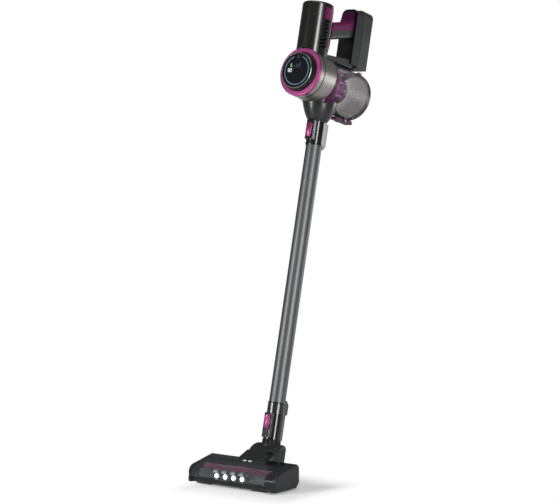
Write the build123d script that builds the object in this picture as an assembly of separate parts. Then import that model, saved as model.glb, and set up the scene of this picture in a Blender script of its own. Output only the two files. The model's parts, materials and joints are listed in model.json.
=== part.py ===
from build123d import *
import math
import os

# Cordless stick vacuum. Millimetres, +Z up, -Y is forward, +X is the operator's left.
# The floor head is drawn in the floor frame, with the neck's pitch axis above the origin.
# Everything above the neck is drawn upright in the wand frame, whose origin is that pitch axis,
# and is then leaned back. Last of all the whole part is moved so its box stands over the origin.

# Pose at rest
LEAN = 13.57
PIVOT_H = 45.0

# Clearances
RUN_FIT = 0.05
SEAT_FIT = 0.03
GAP = 0.3

# Floor head, side outline
HEAD_HALF = 124.0
NOSE_DEPTH = 23.6
NECK_GAP = 8.5
BRUSH_HEADROOM = 13.3
SOLE_Z = 3.0
LIP_Z = 10.0
CHIN = 11.0
NOSE_R = 20.0
NOSE_Z = 23.5
LIP_IN = 2.2
BACK_R = 11.0
HEEL_LEN = 11.0
HEEL_Z = 15.0
HEAD_WALL = 2.4
WINDOW_WALL = 2.2
DRIVE_CAP = 28.0
IDLE_CAP = 11.0
CAP_EDGE = 4.0
CORNER_R = 7.0
CORNER_PROUD = 3.0
CORNER_FOOT = 4.0
CORNER_TOP = 17.0
CORNER_ROUND = 2.5
WINDOW_REACH = 16.0
WINDOW_FOOT = 16.0
COVER_FOOT = 36.0
PLATE = 2.4
RAMP_ROUND = 4.0
BULKHEAD_DROP = 5.0
MOUTH_OVERCUT = 1.0

# Brush roll and its drive
BRISTLE_LIFT = 1.7
BRUSH_BACK_GAP = 9.0
CORE_R = 11.5
SLEEVE_R = 13.0
BRISTLE_R = 21.0
BRISTLE_W = 1.3
BRISTLE_ROWS = 4
BRISTLE_STEPS = 84
BRISTLE_TWIST = 150.0
BRISTLE_ROOM = 0.9
CORE_END = 2.0
FLANGE_PROUD = 2.0
BRUSH_SHAFT_R = 3.0
BRUSH_SHAFT_END = 2.0
BUSH_R = 6.0
BUSH_FLANGE = 1.5
BUSH_FLANGE_T = 1.0
PULLEY_R = 9.5
PULLEY_LEN = 9.0
PULLEY_OFFSET = 4.0
MOTOR_PULLEY_R = 5.0
MOTOR_SHAFT_R = 1.15
BELT_T = 1.5
BELT_W = 7.0
BELT_GAP = 0.15
MOTOR_DROP = 19.0
MOTOR_DEPTH = 13.0
MOTOR_HEIGHT = 20.0
MOTOR_LEN = 50.0
MOTOR_CORNER = 3.0
MOTOR_SET_BACK = 3.0
MOTOR_BOSS_R = 3.5
MOTOR_BOSS_LEN = 2.0
MOTOR_BORE_LEN = 12.0
MOTOR_SHAFT_HOLE = 4.0
CRADLE_SHARES = (0.15, 0.85)
CRADLE_T = 2.0

# Inside the head
PARTITION_T = 1.4
SHELF_ROOM = 0.6
MOUTH_REACH = 22.0
MOUTH_SIDE = 6.0
DUCT_HALF = 17.0
DUCT_Z = 20.0
DUCT_WALL = 1.0
LED_COUNT = 4
LED_PITCH = 24.4
LED_CENTRE = -11.5
LED_LIFT = 1.3
LED_R = 5.6
LED_LEN = 5.0
BOARD_SET = 9.0
LED_FOOT = 3.0
LED_TIP_R = 4.2
BOARD_T = 1.4
BOARD_EDGE = 1.0
BUMPER_Z = 11.0
BUMPER_H = 6.0
BUMPER_T = 4.4
BUMPER_PROUD = 0.8
BUMPER_FIT = 0.1
PAD_LEN = 40.0
PAD_DEPTH = 7.0
PAD_INSET = 12.0

# Wheels and screws of the head
WHEEL_R = 7.5
WHEEL_W = 9.0
WHEEL_INSET = 49.0
WHEEL_IN = 10.0
WHEEL_ROUND = 1.5
WHEEL_SIDE_GAP = 0.7
WHEEL_ROUND_GAP = 1.0
WHEEL_BOX_WALL = 2.5
AXLE_R = 2.0
AXLE_SEAT = 3.5
SCREW_R = 1.5
SCREW_HEAD_R = 2.9
SCREW_HEAD_T = 2.2
SCREW_LEN = 18.0
SCREW_SUNK = 1.0
SCREW_TIP_ROOM = 1.0
RECESS_W = 0.8
RECESS_D = 1.0
RECESS_SHARE = 1.2
END_SCREW_INSET = 17.0
BAY_SCREW_SHARE = 0.4661
SOLE_SCREW_IN = 10.0
POST_R = 4.0
POST_SPLIT = 18.0

# Neck joint
YOKE_R = 38.5
YOKE_WALL = 2.5
YOKE_ROUND = 10.0
EAR_GAP = 1.5
YOKE_CUT = 6.0
YOKE_LOW_ANGLE = 203.6
EAR_X = 30.0
EAR_T = 6.0
EAR_R = 11.0
EAR_FOOT = 6.0
EAR_ROOT = 10.0
EAR_HEEL = 16.5
PIVOT_PIN_R = 4.0
PIVOT_PIN_END = 2.0
PIVOT_BOSS_R = 10.0
DECK_DROP = 4.0
DECK_T = 3.5
DECK_R = 22.4
FAIRING_LAP = 1.0
FAIRING_SET = 11.0
FAIRING_RISE = 25.5
FAIRING_REACH = 17.0
JOURNAL_R = 16.0
JOURNAL_BORE = 11.5
JOURNAL_LEN = 31.5
NECK_RING_H = 13.0
LIP_PROUD = 1.2
LIP_H = 2.0
COLLAR_R = 21.5
COLLAR_ROOM = 1.2
COLLAR_NOTCHES = 14
NOTCH_W = 3.2
NOTCH_D = 2.6
NOTCH_FOOT = 3.0
HOSE_R = 14.5
HOSE_VALLEY = 12.6
HOSE_BORE = 11.2
HOSE_BEND = 40.0
HOSE_CUFF = 8.0
HOSE_RIBS = 12

# Wand and its two couplings
SOCKET_WALL = 2.5
STUB_STEP = 0.5
STUB_WALL = 3.5
STUB_ROOM = 3.4
STUB_LEN = 37.5
COLLAR_LEN = 26.0
WAND_R = 19.0
WAND_WALL = 1.4
WAND_LEN = 644.0
TUBE_SEAT = 20.5
UPPER_LEN = 56.0
BLOCK_HALF = 13.0
BLOCK_T = 11.0
BLOCK_TAIL = 7.0
BLOCK_BITE = 3.0
BLOCK_ROUND = 3.0
RIB_HALF = 9.0
RIB_T = 6.0
FITTING_WALL = 1.5
WIRE_R = 1.2
WIRE_X = 3.0
WIRE_SINK = 0.6
STUB_SEAT = 2.0
LATCH_LOW_DROP = 21.0
LATCH_HIGH_DROP = 22.5
LATCH_HALF = 8.2
LATCH_SIDE_GAP = 0.6
LATCH_PIN_OUT = 3.5
LATCH_PIN_R = 1.25
LATCH_FACE_OUT = 9.0
LATCH_TAIL = 17.5
LATCH_NOSE = 18.5
LATCH_INNER_OUT = 1.6
LATCH_TAIL_OUT = 4.6
LATCH_WAIST = 3.0
LATCH_ROUND = 1.6
LATCH_TAIL_ROOM = 1.1
LATCH_NOSE_ROOM = 0.8
NIB_HALF = 4.2
NIB_LOW = 13.0
NIB_HIGH = 16.5
NIB_BITE = 1.5
NIB_SWING = 1.5
NIB_DEPTH_ROOM = 0.8
CHEEK = 2.7
BUMP_OUT = 6.0
BUMP_TAIL = 5.0
BUMP_FOOT = 3.0

# Hand unit
HOUSING_LIFT = 98.0
HOUSING_R = 57.4
HOUSING_FRONT = -88.0
HOUSING_REAR = -27.0
HOUSING_WALL = 2.6
SLIT_BACK = 20.0
SLIT_W = 1.0
SLIT_D = 0.7
RING_T = 6.0
RING_W = 10.2
RING_EDGE = 2.5
BEZEL_PROUD = 14.0
BEZEL_RIM = 2.2
BEZEL_EDGE = 1.0
BEZEL_DEPTH = 8.0
BEZEL_FLANGE = 4.0
BEZEL_FIT = 0.2
BEZEL_W = 7.4
LENS_T = 2.1
LENS_SET_BACK = 0.8
LEDGE = 2.0
BOARD_SEAT = 4.0
LIGHT_INSET = 5.8
LIGHT_W = 2.4
LIGHT_T = 1.2
LIGHT_ARC = 318.0
FUNNEL_STEP = 0.6
FUNNEL_R1 = 43.0
FUNNEL_SINK = 16.9
FUNNEL_BELLY = 4.2
FUNNEL_WALL = 3.0
TOWER_Y = -60.0
TOWER_R = 36.6
TOWER_WALL = 2.6
CAP_T = 8.5
CAP_ROUND = 5.0
VENTS = 8
VENT_PITCH = 8.6
VENT_W = 21.0
VENT_H = 3.6
VENT_TILT = 16.0
VENT_AZ = -11.0
SPINE_HALF = 12.0
SPINE_T = 8.0
SPINE_LIFT = 1.9
SPINE_PROUD = 4.0
SPINE_ROUND = 3.0
WRAP_T = 0.8
WRAP_AZ = 17.0
WRAP_DROP = 3.0
CROWN_AZ = -21.0
CROWN_H = 27.0
SHELF_T = 4.0
SHELF_BORE = 22.0
FAN_MOTOR_R = 25.0
FAN_MOTOR_H = 50.0
FAN_MOTOR_ROUND = 3.0
FAN_BORE_LEN = 18.0
FAN_SHAFT_LEN = 16.0
FAN_SHAFT_R = 2.5
FAN_R = 28.0
FAN_HUB_R = 8.0
FAN_LIFT = 8.1
FAN_HEADROOM = 8.0
FAN_H = 14.0
FAN_BLADES = 9
FAN_PLATE = 2.0
BLADE_T = 1.3
BLADE_BITE = 1.0
FILTER_H = 15.0
FILTER_GAP = 5.5
FILTER_WALL = 5.5
FILTER_FIT = 0.5

# Handle, trigger and battery
ARM_HALF = 20.0
ARM_CLEAR = 1.1
ARM_T = 7.9
ARM_RISE = 11.5
ARM_LAP = 10.5
ARM_SCREW_LIFT = 2.0
HANDLE_LEN = 82.0
DOCK_DEPTH = 28.0
DOCK_HALF = 23.0
DOCK_SEAT = 9.5
DOCK_WALL = 3.0
DOCK_ROUND = 15.0
DOCK_SCREW_END = 24.0
DOCK_EDGE = 3.0
BATTERY_FRONT_EDGE = 3.0
HANDLE_HALF = 17.0
FINGER_ROOM = 39.0
HANDLE_RISE = 25.0
HANDLE_H = 42.0
HANDLE_EDGE = 8.0
COVER_TURN = 12.0
COVER_LIP = 4.0
TRIGGER_HALF = 8.0
TRIGGER_PIN_IN = 5.5
TRIGGER_PIN_LIFT = 5.5
TRIGGER_PIN_R = 1.5
TRIGGER_TOP_R = 4.0
TRIGGER_DROP = 30.0
TRIGGER_DEPTH = 10.5
TRIGGER_TOE = 4.0
TRIGGER_ROUND = 1.0
TRIGGER_GAP = 0.6
TRIGGER_RECESS = 7.0
TRIGGER_SWING = 3.0
TRIGGER_HEADROOM = 6.0
TRIGGER_FOOTROOM = 2.0
TRIGGER_PIN_BITE = 4.0
BATTERY_GAP = 0.2
BATTERY_SAG = 2.0
BATTERY_PROUD = 5.5
BATTERY_WALL = 1.8
BATTERY_EDGE = 5.0
CELL_R = 9.1
CELL_LEN = 65.0
CELL_GAP = 0.4
CELL_FIT = 0.1
CELL_HEADROOM = 8.1
PLUG_HALF = 7.6
PLUG_H = 19.0
PLUG_LEN = 1.6
PLUG_SLOT = 6.0
TAB_HALF = 15.0
TAB_SET = 13.0
TAB_BACK_SET = 0.4
TAB_H = 8.0
TAB_TRAVEL = 2.0
TAB_STEM_HALF = 6.0
TAB_STEM_DEPTH = 4.0
TAB_HEAD = 2.0
TAB_RIBS = 4
TAB_RIB_W = 1.4
TAB_RIB_D = 0.8

# Dust bin
BIN_DROP = 9.0
BIN_OVER = 0.6
BIN_WALL = 2.2
BIN_LEN = 136.0
DOOR_T = 14.0
DOOR_ROUND = 9.0
DOOR_WALL = 2.4
DOOR_RIM = 1.0
AIR_HOLE_R = 20.0
INLET_R = 14.0
HINGE_OUT = 1.0
HINGE_R = 3.5
HINGE_HALF = 21.0
HINGE_EAR = 4.7
HINGE_PIN_R = 1.5
HINGE_WEB = 8.0
HINGE_WEB_FOOT = 6.0
CYCLONE_R = 40.0
CYCLONE_END_R = 37.0
CYCLONE_WAIST = 25.0
CYCLONE_LEN = 62.0
CYCLONE_WALL = 2.0
SHROUD_R = 30.0
SHROUD_LEN = 22.0
SHROUD_WALL = 1.2
BIN_LATCH_HALF = 11.0
BIN_LATCH_REACH = 52.0
BIN_LATCH_OVER = 1.0
BIN_LATCH_DROP = 8.2
BIN_LATCH_T = 5.0
BIN_LATCH_PIN_IN = 18.0
BIN_LATCH_PIN_LIFT = 2.5
BIN_LATCH_PIN_R = 1.25
BIN_LATCH_LUG = 3.0
BIN_LUG_HALF = 4.0
BIN_LUG_DROP = 3.0
BIN_LUG_BITE = 3.5
BIN_LATCH_ROUND = 4.0
BIN_STEP = 5.0
BIN_STEP_END = 4.0
SIDE_SCREW_LEN = 14.0
SIDE_SCREW_SUNK = 0.5
SIDE_SCREW_ROOM = 4.0

# Worked-out places of the head, from the neck forwards and from the floor up
HEAD_REAR = -YOKE_R - NECK_GAP
MOTOR_Y = HEAD_REAR - HEAD_WALL - GAP - MOTOR_DEPTH / 2
PARTITION_Y = MOTOR_Y - MOTOR_DEPTH / 2 - GAP - PARTITION_T
BRUSH_Y = PARTITION_Y - BRUSH_BACK_GAP - BRISTLE_R
SHELF_Y = BRUSH_Y - BRISTLE_R - BRISTLE_ROOM - SHELF_ROOM
HEAD_FRONT = SHELF_Y - NOSE_DEPTH
WINDOW_BACK = BRUSH_Y + WINDOW_REACH
BOARD_Y = SHELF_Y - BOARD_SET
HEEL_Y = HEAD_REAR - HEEL_LEN
MOUTH_BACK = BRUSH_Y + MOUTH_REACH
WHEEL_Y = HEAD_REAR - WHEEL_IN
SOLE_SCREW_Y = HEAD_REAR - SOLE_SCREW_IN
BRUSH_Z = BRISTLE_R + BRISTLE_LIFT
HEAD_TOP = BRUSH_Z + BRISTLE_R + BRUSH_HEADROOM
MOTOR_Z = HEAD_TOP - MOTOR_DROP
LED_Z = WINDOW_FOOT + LED_R + LED_LIFT
SOLE_SHANK_Z = SOLE_Z + SCREW_HEAD_T + SCREW_SUNK
DRIVE_X = HEAD_HALF - DRIVE_CAP
IDLE_X = IDLE_CAP - HEAD_HALF
WHEEL_X = HEAD_HALF - WHEEL_INSET
MOTOR_X = DRIVE_X - PLATE - MOTOR_SET_BACK
PULLEY_X = DRIVE_X + PULLEY_OFFSET
EAR_SCREW_X = -(DUCT_HALF + EAR_X + EAR_T) / 2
BAY_SCREW_X = DUCT_HALF + (MOTOR_X - MOTOR_LEN - DUCT_HALF) * BAY_SCREW_SHARE
SOLE_SCREWS_X = (IDLE_X + END_SCREW_INSET, EAR_SCREW_X, BAY_SCREW_X)

# Worked-out places of the neck and the wand, from the pitch axis up
EAR_ROOT_Y = HEAD_REAR + EAR_ROOT
EAR_HEEL_Y = -EAR_HEEL
YOKE_HALF = EAR_X + EAR_T + EAR_GAP + YOKE_WALL
FAIRING_HALF = YOKE_HALF + FAIRING_LAP
FAIRING_START = HEAD_REAR - BACK_R - FAIRING_SET
FAIRING_BACK = HEAD_REAR + FAIRING_REACH
FAIRING_TOP = PIVOT_H + FAIRING_RISE
DECK_Z = YOKE_R - DECK_DROP
JOURNAL_TOP = DECK_Z + JOURNAL_LEN
SOCKET_FOOT = DECK_Z + NECK_RING_H + GAP
SOCKET_TOP = JOURNAL_TOP + 2 * GAP + STUB_ROOM + STUB_LEN
TUBE_FOOT = SOCKET_TOP + COLLAR_LEN - TUBE_SEAT
TUBE_HEAD = TUBE_FOOT + WAND_LEN
UPPER_TOP = TUBE_HEAD + STUB_LEN
STUB_R = WAND_R - STUB_STEP
STUB_BORE = STUB_R - STUB_WALL
SOCKET_R = STUB_R + SOCKET_WALL
FITTING_R = WAND_R + FITTING_WALL
BLOCK_BACK = WAND_R + BLOCK_T
LATCH_LOW_Z = SOCKET_TOP - LATCH_LOW_DROP
LATCH_HIGH_Z = UPPER_TOP - LATCH_HIGH_DROP
LATCH_PIN_Y = -SOCKET_R - LATCH_PIN_OUT
LATCH_FACE = -SOCKET_R - LATCH_FACE_OUT
LATCH_INNER = -SOCKET_R - LATCH_INNER_OUT
LATCH_TAIL_Y = -SOCKET_R - LATCH_TAIL_OUT
NIB_TIP = -STUB_R + NIB_BITE
BUMP_FACE = -SOCKET_R - BUMP_OUT

# Worked-out places of the drum and the tower, from the wand up
HOUSING_Z = UPPER_TOP + HOUSING_LIFT
SLIT_Y = HOUSING_FRONT + SLIT_BACK
RING_IN = HOUSING_R - RING_W
LENS_R = RING_IN - 2 * BEZEL_FIT - BEZEL_W
LIGHT_R = LENS_R - LIGHT_INSET
BEZEL_FRONT = HOUSING_FRONT - RING_T - BEZEL_PROUD
LEDGE_Y = BEZEL_FRONT + LENS_SET_BACK + LENS_T
FUNNEL_R0 = SOCKET_R + FUNNEL_STEP
FUNNEL_TOP = HOUSING_Z - HOUSING_R + FUNNEL_SINK
FAN_FOOT = HOUSING_Z + HOUSING_R + FAN_LIFT
VENT_FOOT = FAN_FOOT
SHELF_Z = FAN_FOOT + FAN_H + FAN_HEADROOM
FAN_MOTOR_FOOT = SHELF_Z + SHELF_T
TOWER_TOP = FAN_MOTOR_FOOT + FAN_MOTOR_H + FILTER_GAP + FILTER_H

# Worked-out places of the bin and its latch
BIN_Z = HOUSING_Z - BIN_DROP
BIN_R = HOUSING_R + BIN_OVER
BIN_REAR = HOUSING_REAR + BIN_LEN
DOOR_FRONT = BIN_REAR + GAP
DOOR_REAR = DOOR_FRONT + DOOR_T
HINGE_Y = BIN_REAR + HINGE_OUT
HINGE_Z = BIN_Z + BIN_R - HINGE_R
HINGE_ROOM_R = HINGE_R + 4 * GAP
BIN_LATCH_FRONT = BIN_REAR - BIN_LATCH_REACH
BIN_LATCH_BACK = DOOR_REAR + BIN_LATCH_OVER
BIN_LATCH_FOOT = BIN_Z - BIN_R - BIN_LATCH_DROP
BIN_LATCH_PIN_Y = BIN_REAR - BIN_LATCH_PIN_IN
BIN_LATCH_PIN_Z = BIN_LATCH_FOOT + BIN_LATCH_PIN_LIFT

# Worked-out places of the handle, the dock and the battery, which is sized by its cells
SPINE_BACK = TOWER_Y + TOWER_R + SPINE_T
DOCK_FRONT = SPINE_BACK + HANDLE_LEN
DOCK_REAR = DOCK_FRONT + DOCK_DEPTH
ARM_END = DOCK_FRONT + ARM_LAP
ARM_FOOT = BIN_Z + BIN_R + ARM_CLEAR
ARM_FRONT_TOP = ARM_FOOT + ARM_T
ARM_BACK_TOP = ARM_FRONT_TOP + ARM_RISE
SPINE_FOOT = ARM_FRONT_TOP + SPINE_LIFT
SPINE_TOP = TOWER_TOP + SPINE_PROUD
HANDLE_LOW = ARM_FRONT_TOP + FINGER_ROOM
TRIGGER_PIN_Y = SPINE_BACK + TRIGGER_PIN_IN
TRIGGER_PIN_Z = HANDLE_LOW + TRIGGER_PIN_LIFT
TRIGGER_BACK = SPINE_BACK + TRIGGER_DEPTH
CELL_SPACE = 2 * CELL_R + CELL_GAP
DOCK_FOOT = ARM_BACK_TOP - DOCK_SEAT
BATTERY_FOOT = DOCK_FOOT - BATTERY_SAG
BATTERY_TOP = BATTERY_FOOT + 2 * BATTERY_WALL + 2 * CELL_LEN + GAP + CELL_HEADROOM
DOCK_TOP = BATTERY_TOP - BATTERY_PROUD
BATTERY_FRONT = DOCK_REAR + BATTERY_GAP
BATTERY_DEPTH = 2 * BATTERY_WALL + CELL_SPACE + 2 * CELL_R + CELL_FIT
BATTERY_REAR = BATTERY_FRONT + BATTERY_DEPTH
TAB_FRONT = DOCK_FRONT + TAB_SET
TAB_BACK = DOCK_REAR - TAB_BACK_SET
LONG = 400.0

MIN_Z = (Align.CENTER, Align.CENTER, Align.MIN)


def rod_z(radius, z0, z1, x=0.0, y=0.0):
    """Round rod along Z from z0 to z1."""
    return Pos(x, y, z0) * Cylinder(radius, z1 - z0, align=MIN_Z)


def rod_y(radius, y0, y1, x=0.0, z=0.0):
    """Round rod along Y from y0 to y1."""
    return Pos(x, y0, z) * Rot(-90, 0, 0) * Cylinder(radius, y1 - y0, align=MIN_Z)


def rod_x(radius, x0, x1, y=0.0, z=0.0):
    """Round rod along X from x0 to x1."""
    return Pos(x0, y, z) * Rot(0, 90, 0) * Cylinder(radius, x1 - x0, align=MIN_Z)


def ring_z(outer, inner, z0, z1, x=0.0, y=0.0):
    """Round ring along Z."""
    return rod_z(outer, z0, z1, x, y) - rod_z(inner, z0, z1, x, y)


def ring_y(outer, inner, y0, y1, z=0.0):
    """Round ring along Y."""
    return rod_y(outer, y0, y1, 0, z) - rod_y(inner, y0, y1, 0, z)


def block(x0, x1, y0, y1, z0, z1):
    """Square block between two corners."""
    size = Box(x1 - x0, y1 - y0, z1 - z0)
    return Pos((x0 + x1) / 2, (y0 + y1) / 2, (z0 + z1) / 2) * size


def prism_x(face, x0, x1):
    """A side outline carried across from x0 to x1."""
    return extrude(Pos(x0, 0, 0) * face, x1 - x0)


def side_face(*points):
    """A straight-edged outline in the side view, from (y, z) points."""
    with BuildSketch(Plane.YZ) as sketch:
        with BuildLine():
            Polyline(*points, close=True)
        make_face()
    return sketch.sketch


def both_sides(make):
    """The same piece built for the left and for the right."""
    return make(1) + make(-1)


def flank(side, x0, x1, y0, y1, z0, z1):
    """A block on one flank, with x measured outwards."""
    return block(min(side * x0, side * x1), max(side * x0, side * x1), y0, y1, z0, z1)


def flank_rod(side, radius, x0, x1, y, z):
    """A rod along X on one flank, with x measured outwards."""
    return rod_x(radius, min(side * x0, side * x1), max(side * x0, side * x1), y, z)


# Floor head

def slope_foot():
    """Where the sloped top meets the round nose, as an angle round the nose and as a point."""
    centre = Vector(HEAD_FRONT + NOSE_R, NOSE_Z)
    reach = Vector(HEAD_REAR - BACK_R, HEAD_TOP) - centre
    angle = math.atan2(reach.Y, reach.X) + math.acos(NOSE_R / reach.length)
    return math.degrees(angle), centre + Vector(math.cos(angle), math.sin(angle)) * NOSE_R


def slope_height(y):
    """Height of the sloped top at a place along the head."""
    _, foot = slope_foot()
    crown_y = HEAD_REAR - BACK_R
    return HEAD_TOP - (HEAD_TOP - foot.Y) * (crown_y - y) / (crown_y - foot.X)


def head_outline():
    """Side outline of the head: flat sole, rising heel, square back, sloped top and round nose."""
    crown = (HEAD_REAR - BACK_R, HEAD_TOP)
    back = (HEAD_REAR, HEAD_TOP - BACK_R)
    heel = (HEAD_REAR, HEEL_Z)
    lip = (HEAD_FRONT + LIP_IN, LIP_Z)
    angle, foot = slope_foot()
    with BuildSketch(Plane.YZ) as sketch:
        with BuildLine():
            Line(crown, (foot.X, foot.Y))
            CenterArc((HEAD_FRONT + NOSE_R, NOSE_Z), NOSE_R, angle, 180 - angle)
            TangentArc(crown, back, tangent=(1, 0))
            Polyline(back, heel, (HEEL_Y, SOLE_Z), (HEAD_FRONT + CHIN, SOLE_Z), lip, (HEAD_FRONT, NOSE_Z))
        make_face()
    return sketch.sketch


OUTLINE = head_outline()
INSET = offset(OUTLINE, amount=-HEAD_WALL, kind=Kind.INTERSECTION)
WINDOW_INSET = offset(OUTLINE, amount=-WINDOW_WALL, kind=Kind.INTERSECTION)


def head_ear(side):
    """One ear that carries the neck pin, reaching back under the hood."""
    arm = side_face(
        (HEAD_REAR - 2 * HEAD_WALL, HEEL_Z + HEAD_WALL),
        (EAR_ROOT_Y, HEEL_Z + HEAD_WALL),
        (-EAR_R, PIVOT_H),
        (EAR_R * 0.75, PIVOT_H - EAR_R * 0.65),
        (EAR_HEEL_Y, EAR_FOOT),
        (HEAD_REAR - 2 * HEAD_WALL, EAR_FOOT),
    )
    x0 = min(side * EAR_X, side * (EAR_X + EAR_T))
    boss = rod_x(EAR_R, x0, x0 + EAR_T, 0, PIVOT_H)
    return prism_x(arm, x0, x0 + EAR_T) + boss


def wheel_box(side):
    """Walls that hold one wheel's axle."""
    reach = WHEEL_W / 2 + AXLE_SEAT + WHEEL_SIDE_GAP
    front = WHEEL_Y - WHEEL_R - WHEEL_BOX_WALL
    top = 2 * WHEEL_R + WHEEL_BOX_WALL
    return flank(side, WHEEL_X - reach, WHEEL_X + reach, front, HEAD_REAR, SOLE_Z, top)


def wheel_pocket(side):
    """Room for one wheel."""
    reach = WHEEL_W / 2 + WHEEL_SIDE_GAP
    return flank_rod(side, WHEEL_R + WHEEL_ROUND_GAP, WHEEL_X - reach, WHEEL_X + reach, WHEEL_Y, WHEEL_R)


def sole_screw_holes():
    """Shank holes and head recesses up through the sole."""
    holes = Part()
    for x in SOLE_SCREWS_X:
        holes += rod_z(SCREW_R + SEAT_FIT, 0, SOLE_SHANK_Z + SCREW_LEN + SCREW_TIP_ROOM, x, SOLE_SCREW_Y)
        holes += rod_z(SCREW_HEAD_R + GAP, 0, SOLE_SHANK_Z, x, SOLE_SCREW_Y)
    return holes


def make_head_base():
    """Sole tray with its lip, bulkhead, end plates, ears, wheel boxes, duct and motor cradle."""
    whole = prism_x(OUTLINE, IDLE_X, DRIVE_X)
    hollow = prism_x(INSET, IDLE_X, DRIVE_X)
    shell = whole - hollow
    tray = shell & block(IDLE_X, DRIVE_X, HEAD_FRONT, HEAD_REAR, 0, WINDOW_FOOT)
    back = shell & block(IDLE_X, DRIVE_X, HEEL_Y, HEAD_REAR, 0, COVER_FOOT)
    lip = whole & block(IDLE_X, DRIVE_X, HEAD_FRONT, SHELF_Y, SOLE_Z, WINDOW_FOOT)
    bulkhead_top = HEAD_TOP - BULKHEAD_DROP
    bulkhead = hollow & block(IDLE_X, DRIVE_X, PARTITION_Y, PARTITION_Y + PARTITION_T, 0, bulkhead_top)
    plates = prism_x(INSET, IDLE_X, IDLE_X + PLATE) + prism_x(INSET, DRIVE_X - PLATE, DRIVE_X)
    boxes = both_sides(wheel_box) & whole
    duct_r = HOSE_R + DUCT_WALL
    duct = block(-DUCT_HALF, DUCT_HALF, PARTITION_Y, HEAD_REAR, DUCT_Z - duct_r, DUCT_Z + duct_r)
    cradle = Part()
    for share in CRADLE_SHARES:
        x = MOTOR_X - MOTOR_LEN * share
        top = MOTOR_Z - MOTOR_HEIGHT / 2
        cradle += block(x - CRADLE_T / 2, x + CRADLE_T / 2, PARTITION_Y, HEAD_REAR - HEAD_WALL, SOLE_Z, top)
    posts = Part()
    for x in SOLE_SCREWS_X:
        posts += rod_z(POST_R, SOLE_Z, POST_SPLIT, x, SOLE_SCREW_Y)
    inside = bulkhead + plates + boxes + (cradle & whole) + (posts & whole)
    base = tray + back + lip + inside + duct + both_sides(head_ear)
    base -= rod_x(BRISTLE_R + BRISTLE_ROOM, IDLE_X + PLATE, DRIVE_X - PLATE, BRUSH_Y, BRUSH_Z)
    mouth_top = SOLE_Z + HEAD_WALL + MOUTH_OVERCUT
    base -= block(IDLE_X + MOUTH_SIDE, DRIVE_X - MOUTH_SIDE, SHELF_Y, MOUTH_BACK, 0, mouth_top)
    base -= rod_x(BUSH_R + SEAT_FIT, IDLE_X, DRIVE_X, BRUSH_Y, BRUSH_Z)
    base -= rod_x(MOTOR_SHAFT_HOLE, DRIVE_X - PLATE, DRIVE_X, MOTOR_Y, MOTOR_Z)
    base -= rod_y(JOURNAL_BORE, PARTITION_Y, HEAD_REAR, 0, DUCT_Z)
    base -= rod_x(PIVOT_PIN_R + SEAT_FIT, -EAR_X - EAR_T, EAR_X + EAR_T, 0, PIVOT_H)
    base -= both_sides(wheel_pocket)
    base -= both_sides(lambda side: wheel_axle(side, SEAT_FIT))
    base -= sole_screw_holes()
    base -= bumper_bar(BUMPER_FIT)
    return base


def bumper_bar(room=0.0):
    """Rubber bar let into the front lip, standing a little proud of it."""
    proud = offset(OUTLINE, amount=BUMPER_PROUD, kind=Kind.INTERSECTION)
    bar = prism_x(proud, IDLE_X, DRIVE_X)
    low = BUMPER_Z - BUMPER_H / 2 - room
    high = BUMPER_Z + BUMPER_H / 2 + room
    depth = HEAD_FRONT + BUMPER_T + room
    return bar & block(IDLE_X, DRIVE_X, HEAD_FRONT - 2 * BUMPER_PROUD, depth, low, high)


def make_head_window():
    """Smoked window: the front arc from the lip up to the crown."""
    shell = prism_x(OUTLINE, IDLE_X, DRIVE_X) - prism_x(WINDOW_INSET, IDLE_X, DRIVE_X)
    return shell & block(IDLE_X, DRIVE_X, HEAD_FRONT, WINDOW_BACK, WINDOW_FOOT, HEAD_TOP)


def make_head_top_cover():
    """Rear cover, with the ramp that rises to the hood and the posts that the sole screws bite into."""
    shell = prism_x(OUTLINE, IDLE_X, DRIVE_X) - prism_x(WINDOW_INSET, IDLE_X, DRIVE_X)
    cover = shell & block(IDLE_X, DRIVE_X, WINDOW_BACK, HEAD_REAR, COVER_FOOT, HEAD_TOP)
    start_top = slope_height(FAIRING_START)
    ramp_face = side_face(
        (FAIRING_START, start_top - WINDOW_WALL),
        (FAIRING_START, start_top),
        (FAIRING_BACK, FAIRING_TOP),
        (FAIRING_BACK, PIVOT_H),
        (HEAD_REAR, PIVOT_H),
        (HEAD_REAR - BACK_R, HEAD_TOP - WINDOW_WALL),
    )
    ramp = prism_x(ramp_face, -FAIRING_HALF, FAIRING_HALF)
    ramp = fillet(ramp.edges().filter_by(Plane.YZ).group_by(Axis.Z)[-1], RAMP_ROUND)
    cover += ramp - rod_x(YOKE_R + 2 * GAP, -LONG, LONG, 0, PIVOT_H)
    for x in SOLE_SCREWS_X:
        post = rod_z(POST_R, POST_SPLIT, HEAD_TOP - WINDOW_WALL / 2, x, SOLE_SCREW_Y)
        bore_top = SOLE_SHANK_Z + SCREW_LEN + SCREW_TIP_ROOM
        cover += post - rod_z(SCREW_R + SEAT_FIT, 0, bore_top, x, SOLE_SCREW_Y)
    return cover


def end_cap(x_in, x_out):
    """Hollow end cap with a rounded outer rim and a bump pad on its front corner."""
    low = min(x_in, x_out)
    high = max(x_in, x_out)
    cap = prism_x(OUTLINE, low, high)
    rim = cap.edges().group_by(Axis.X)[-1 if x_out > x_in else 0]
    cap = fillet(rim, CAP_EDGE)
    inward = CORNER_R if x_out > x_in else -CORNER_R
    pad = rod_z(CORNER_R, CORNER_FOOT, CORNER_TOP, x_out - inward, HEAD_FRONT + CORNER_R - CORNER_PROUD)
    cap += fillet(pad.edges(), CORNER_ROUND) & block(low, high, -LONG, LONG, CORNER_FOOT, CORNER_TOP)
    wall = HEAD_WALL if x_out > x_in else -HEAD_WALL
    return cap - prism_x(INSET, min(x_in, x_out - wall), max(x_in, x_out - wall))


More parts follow.
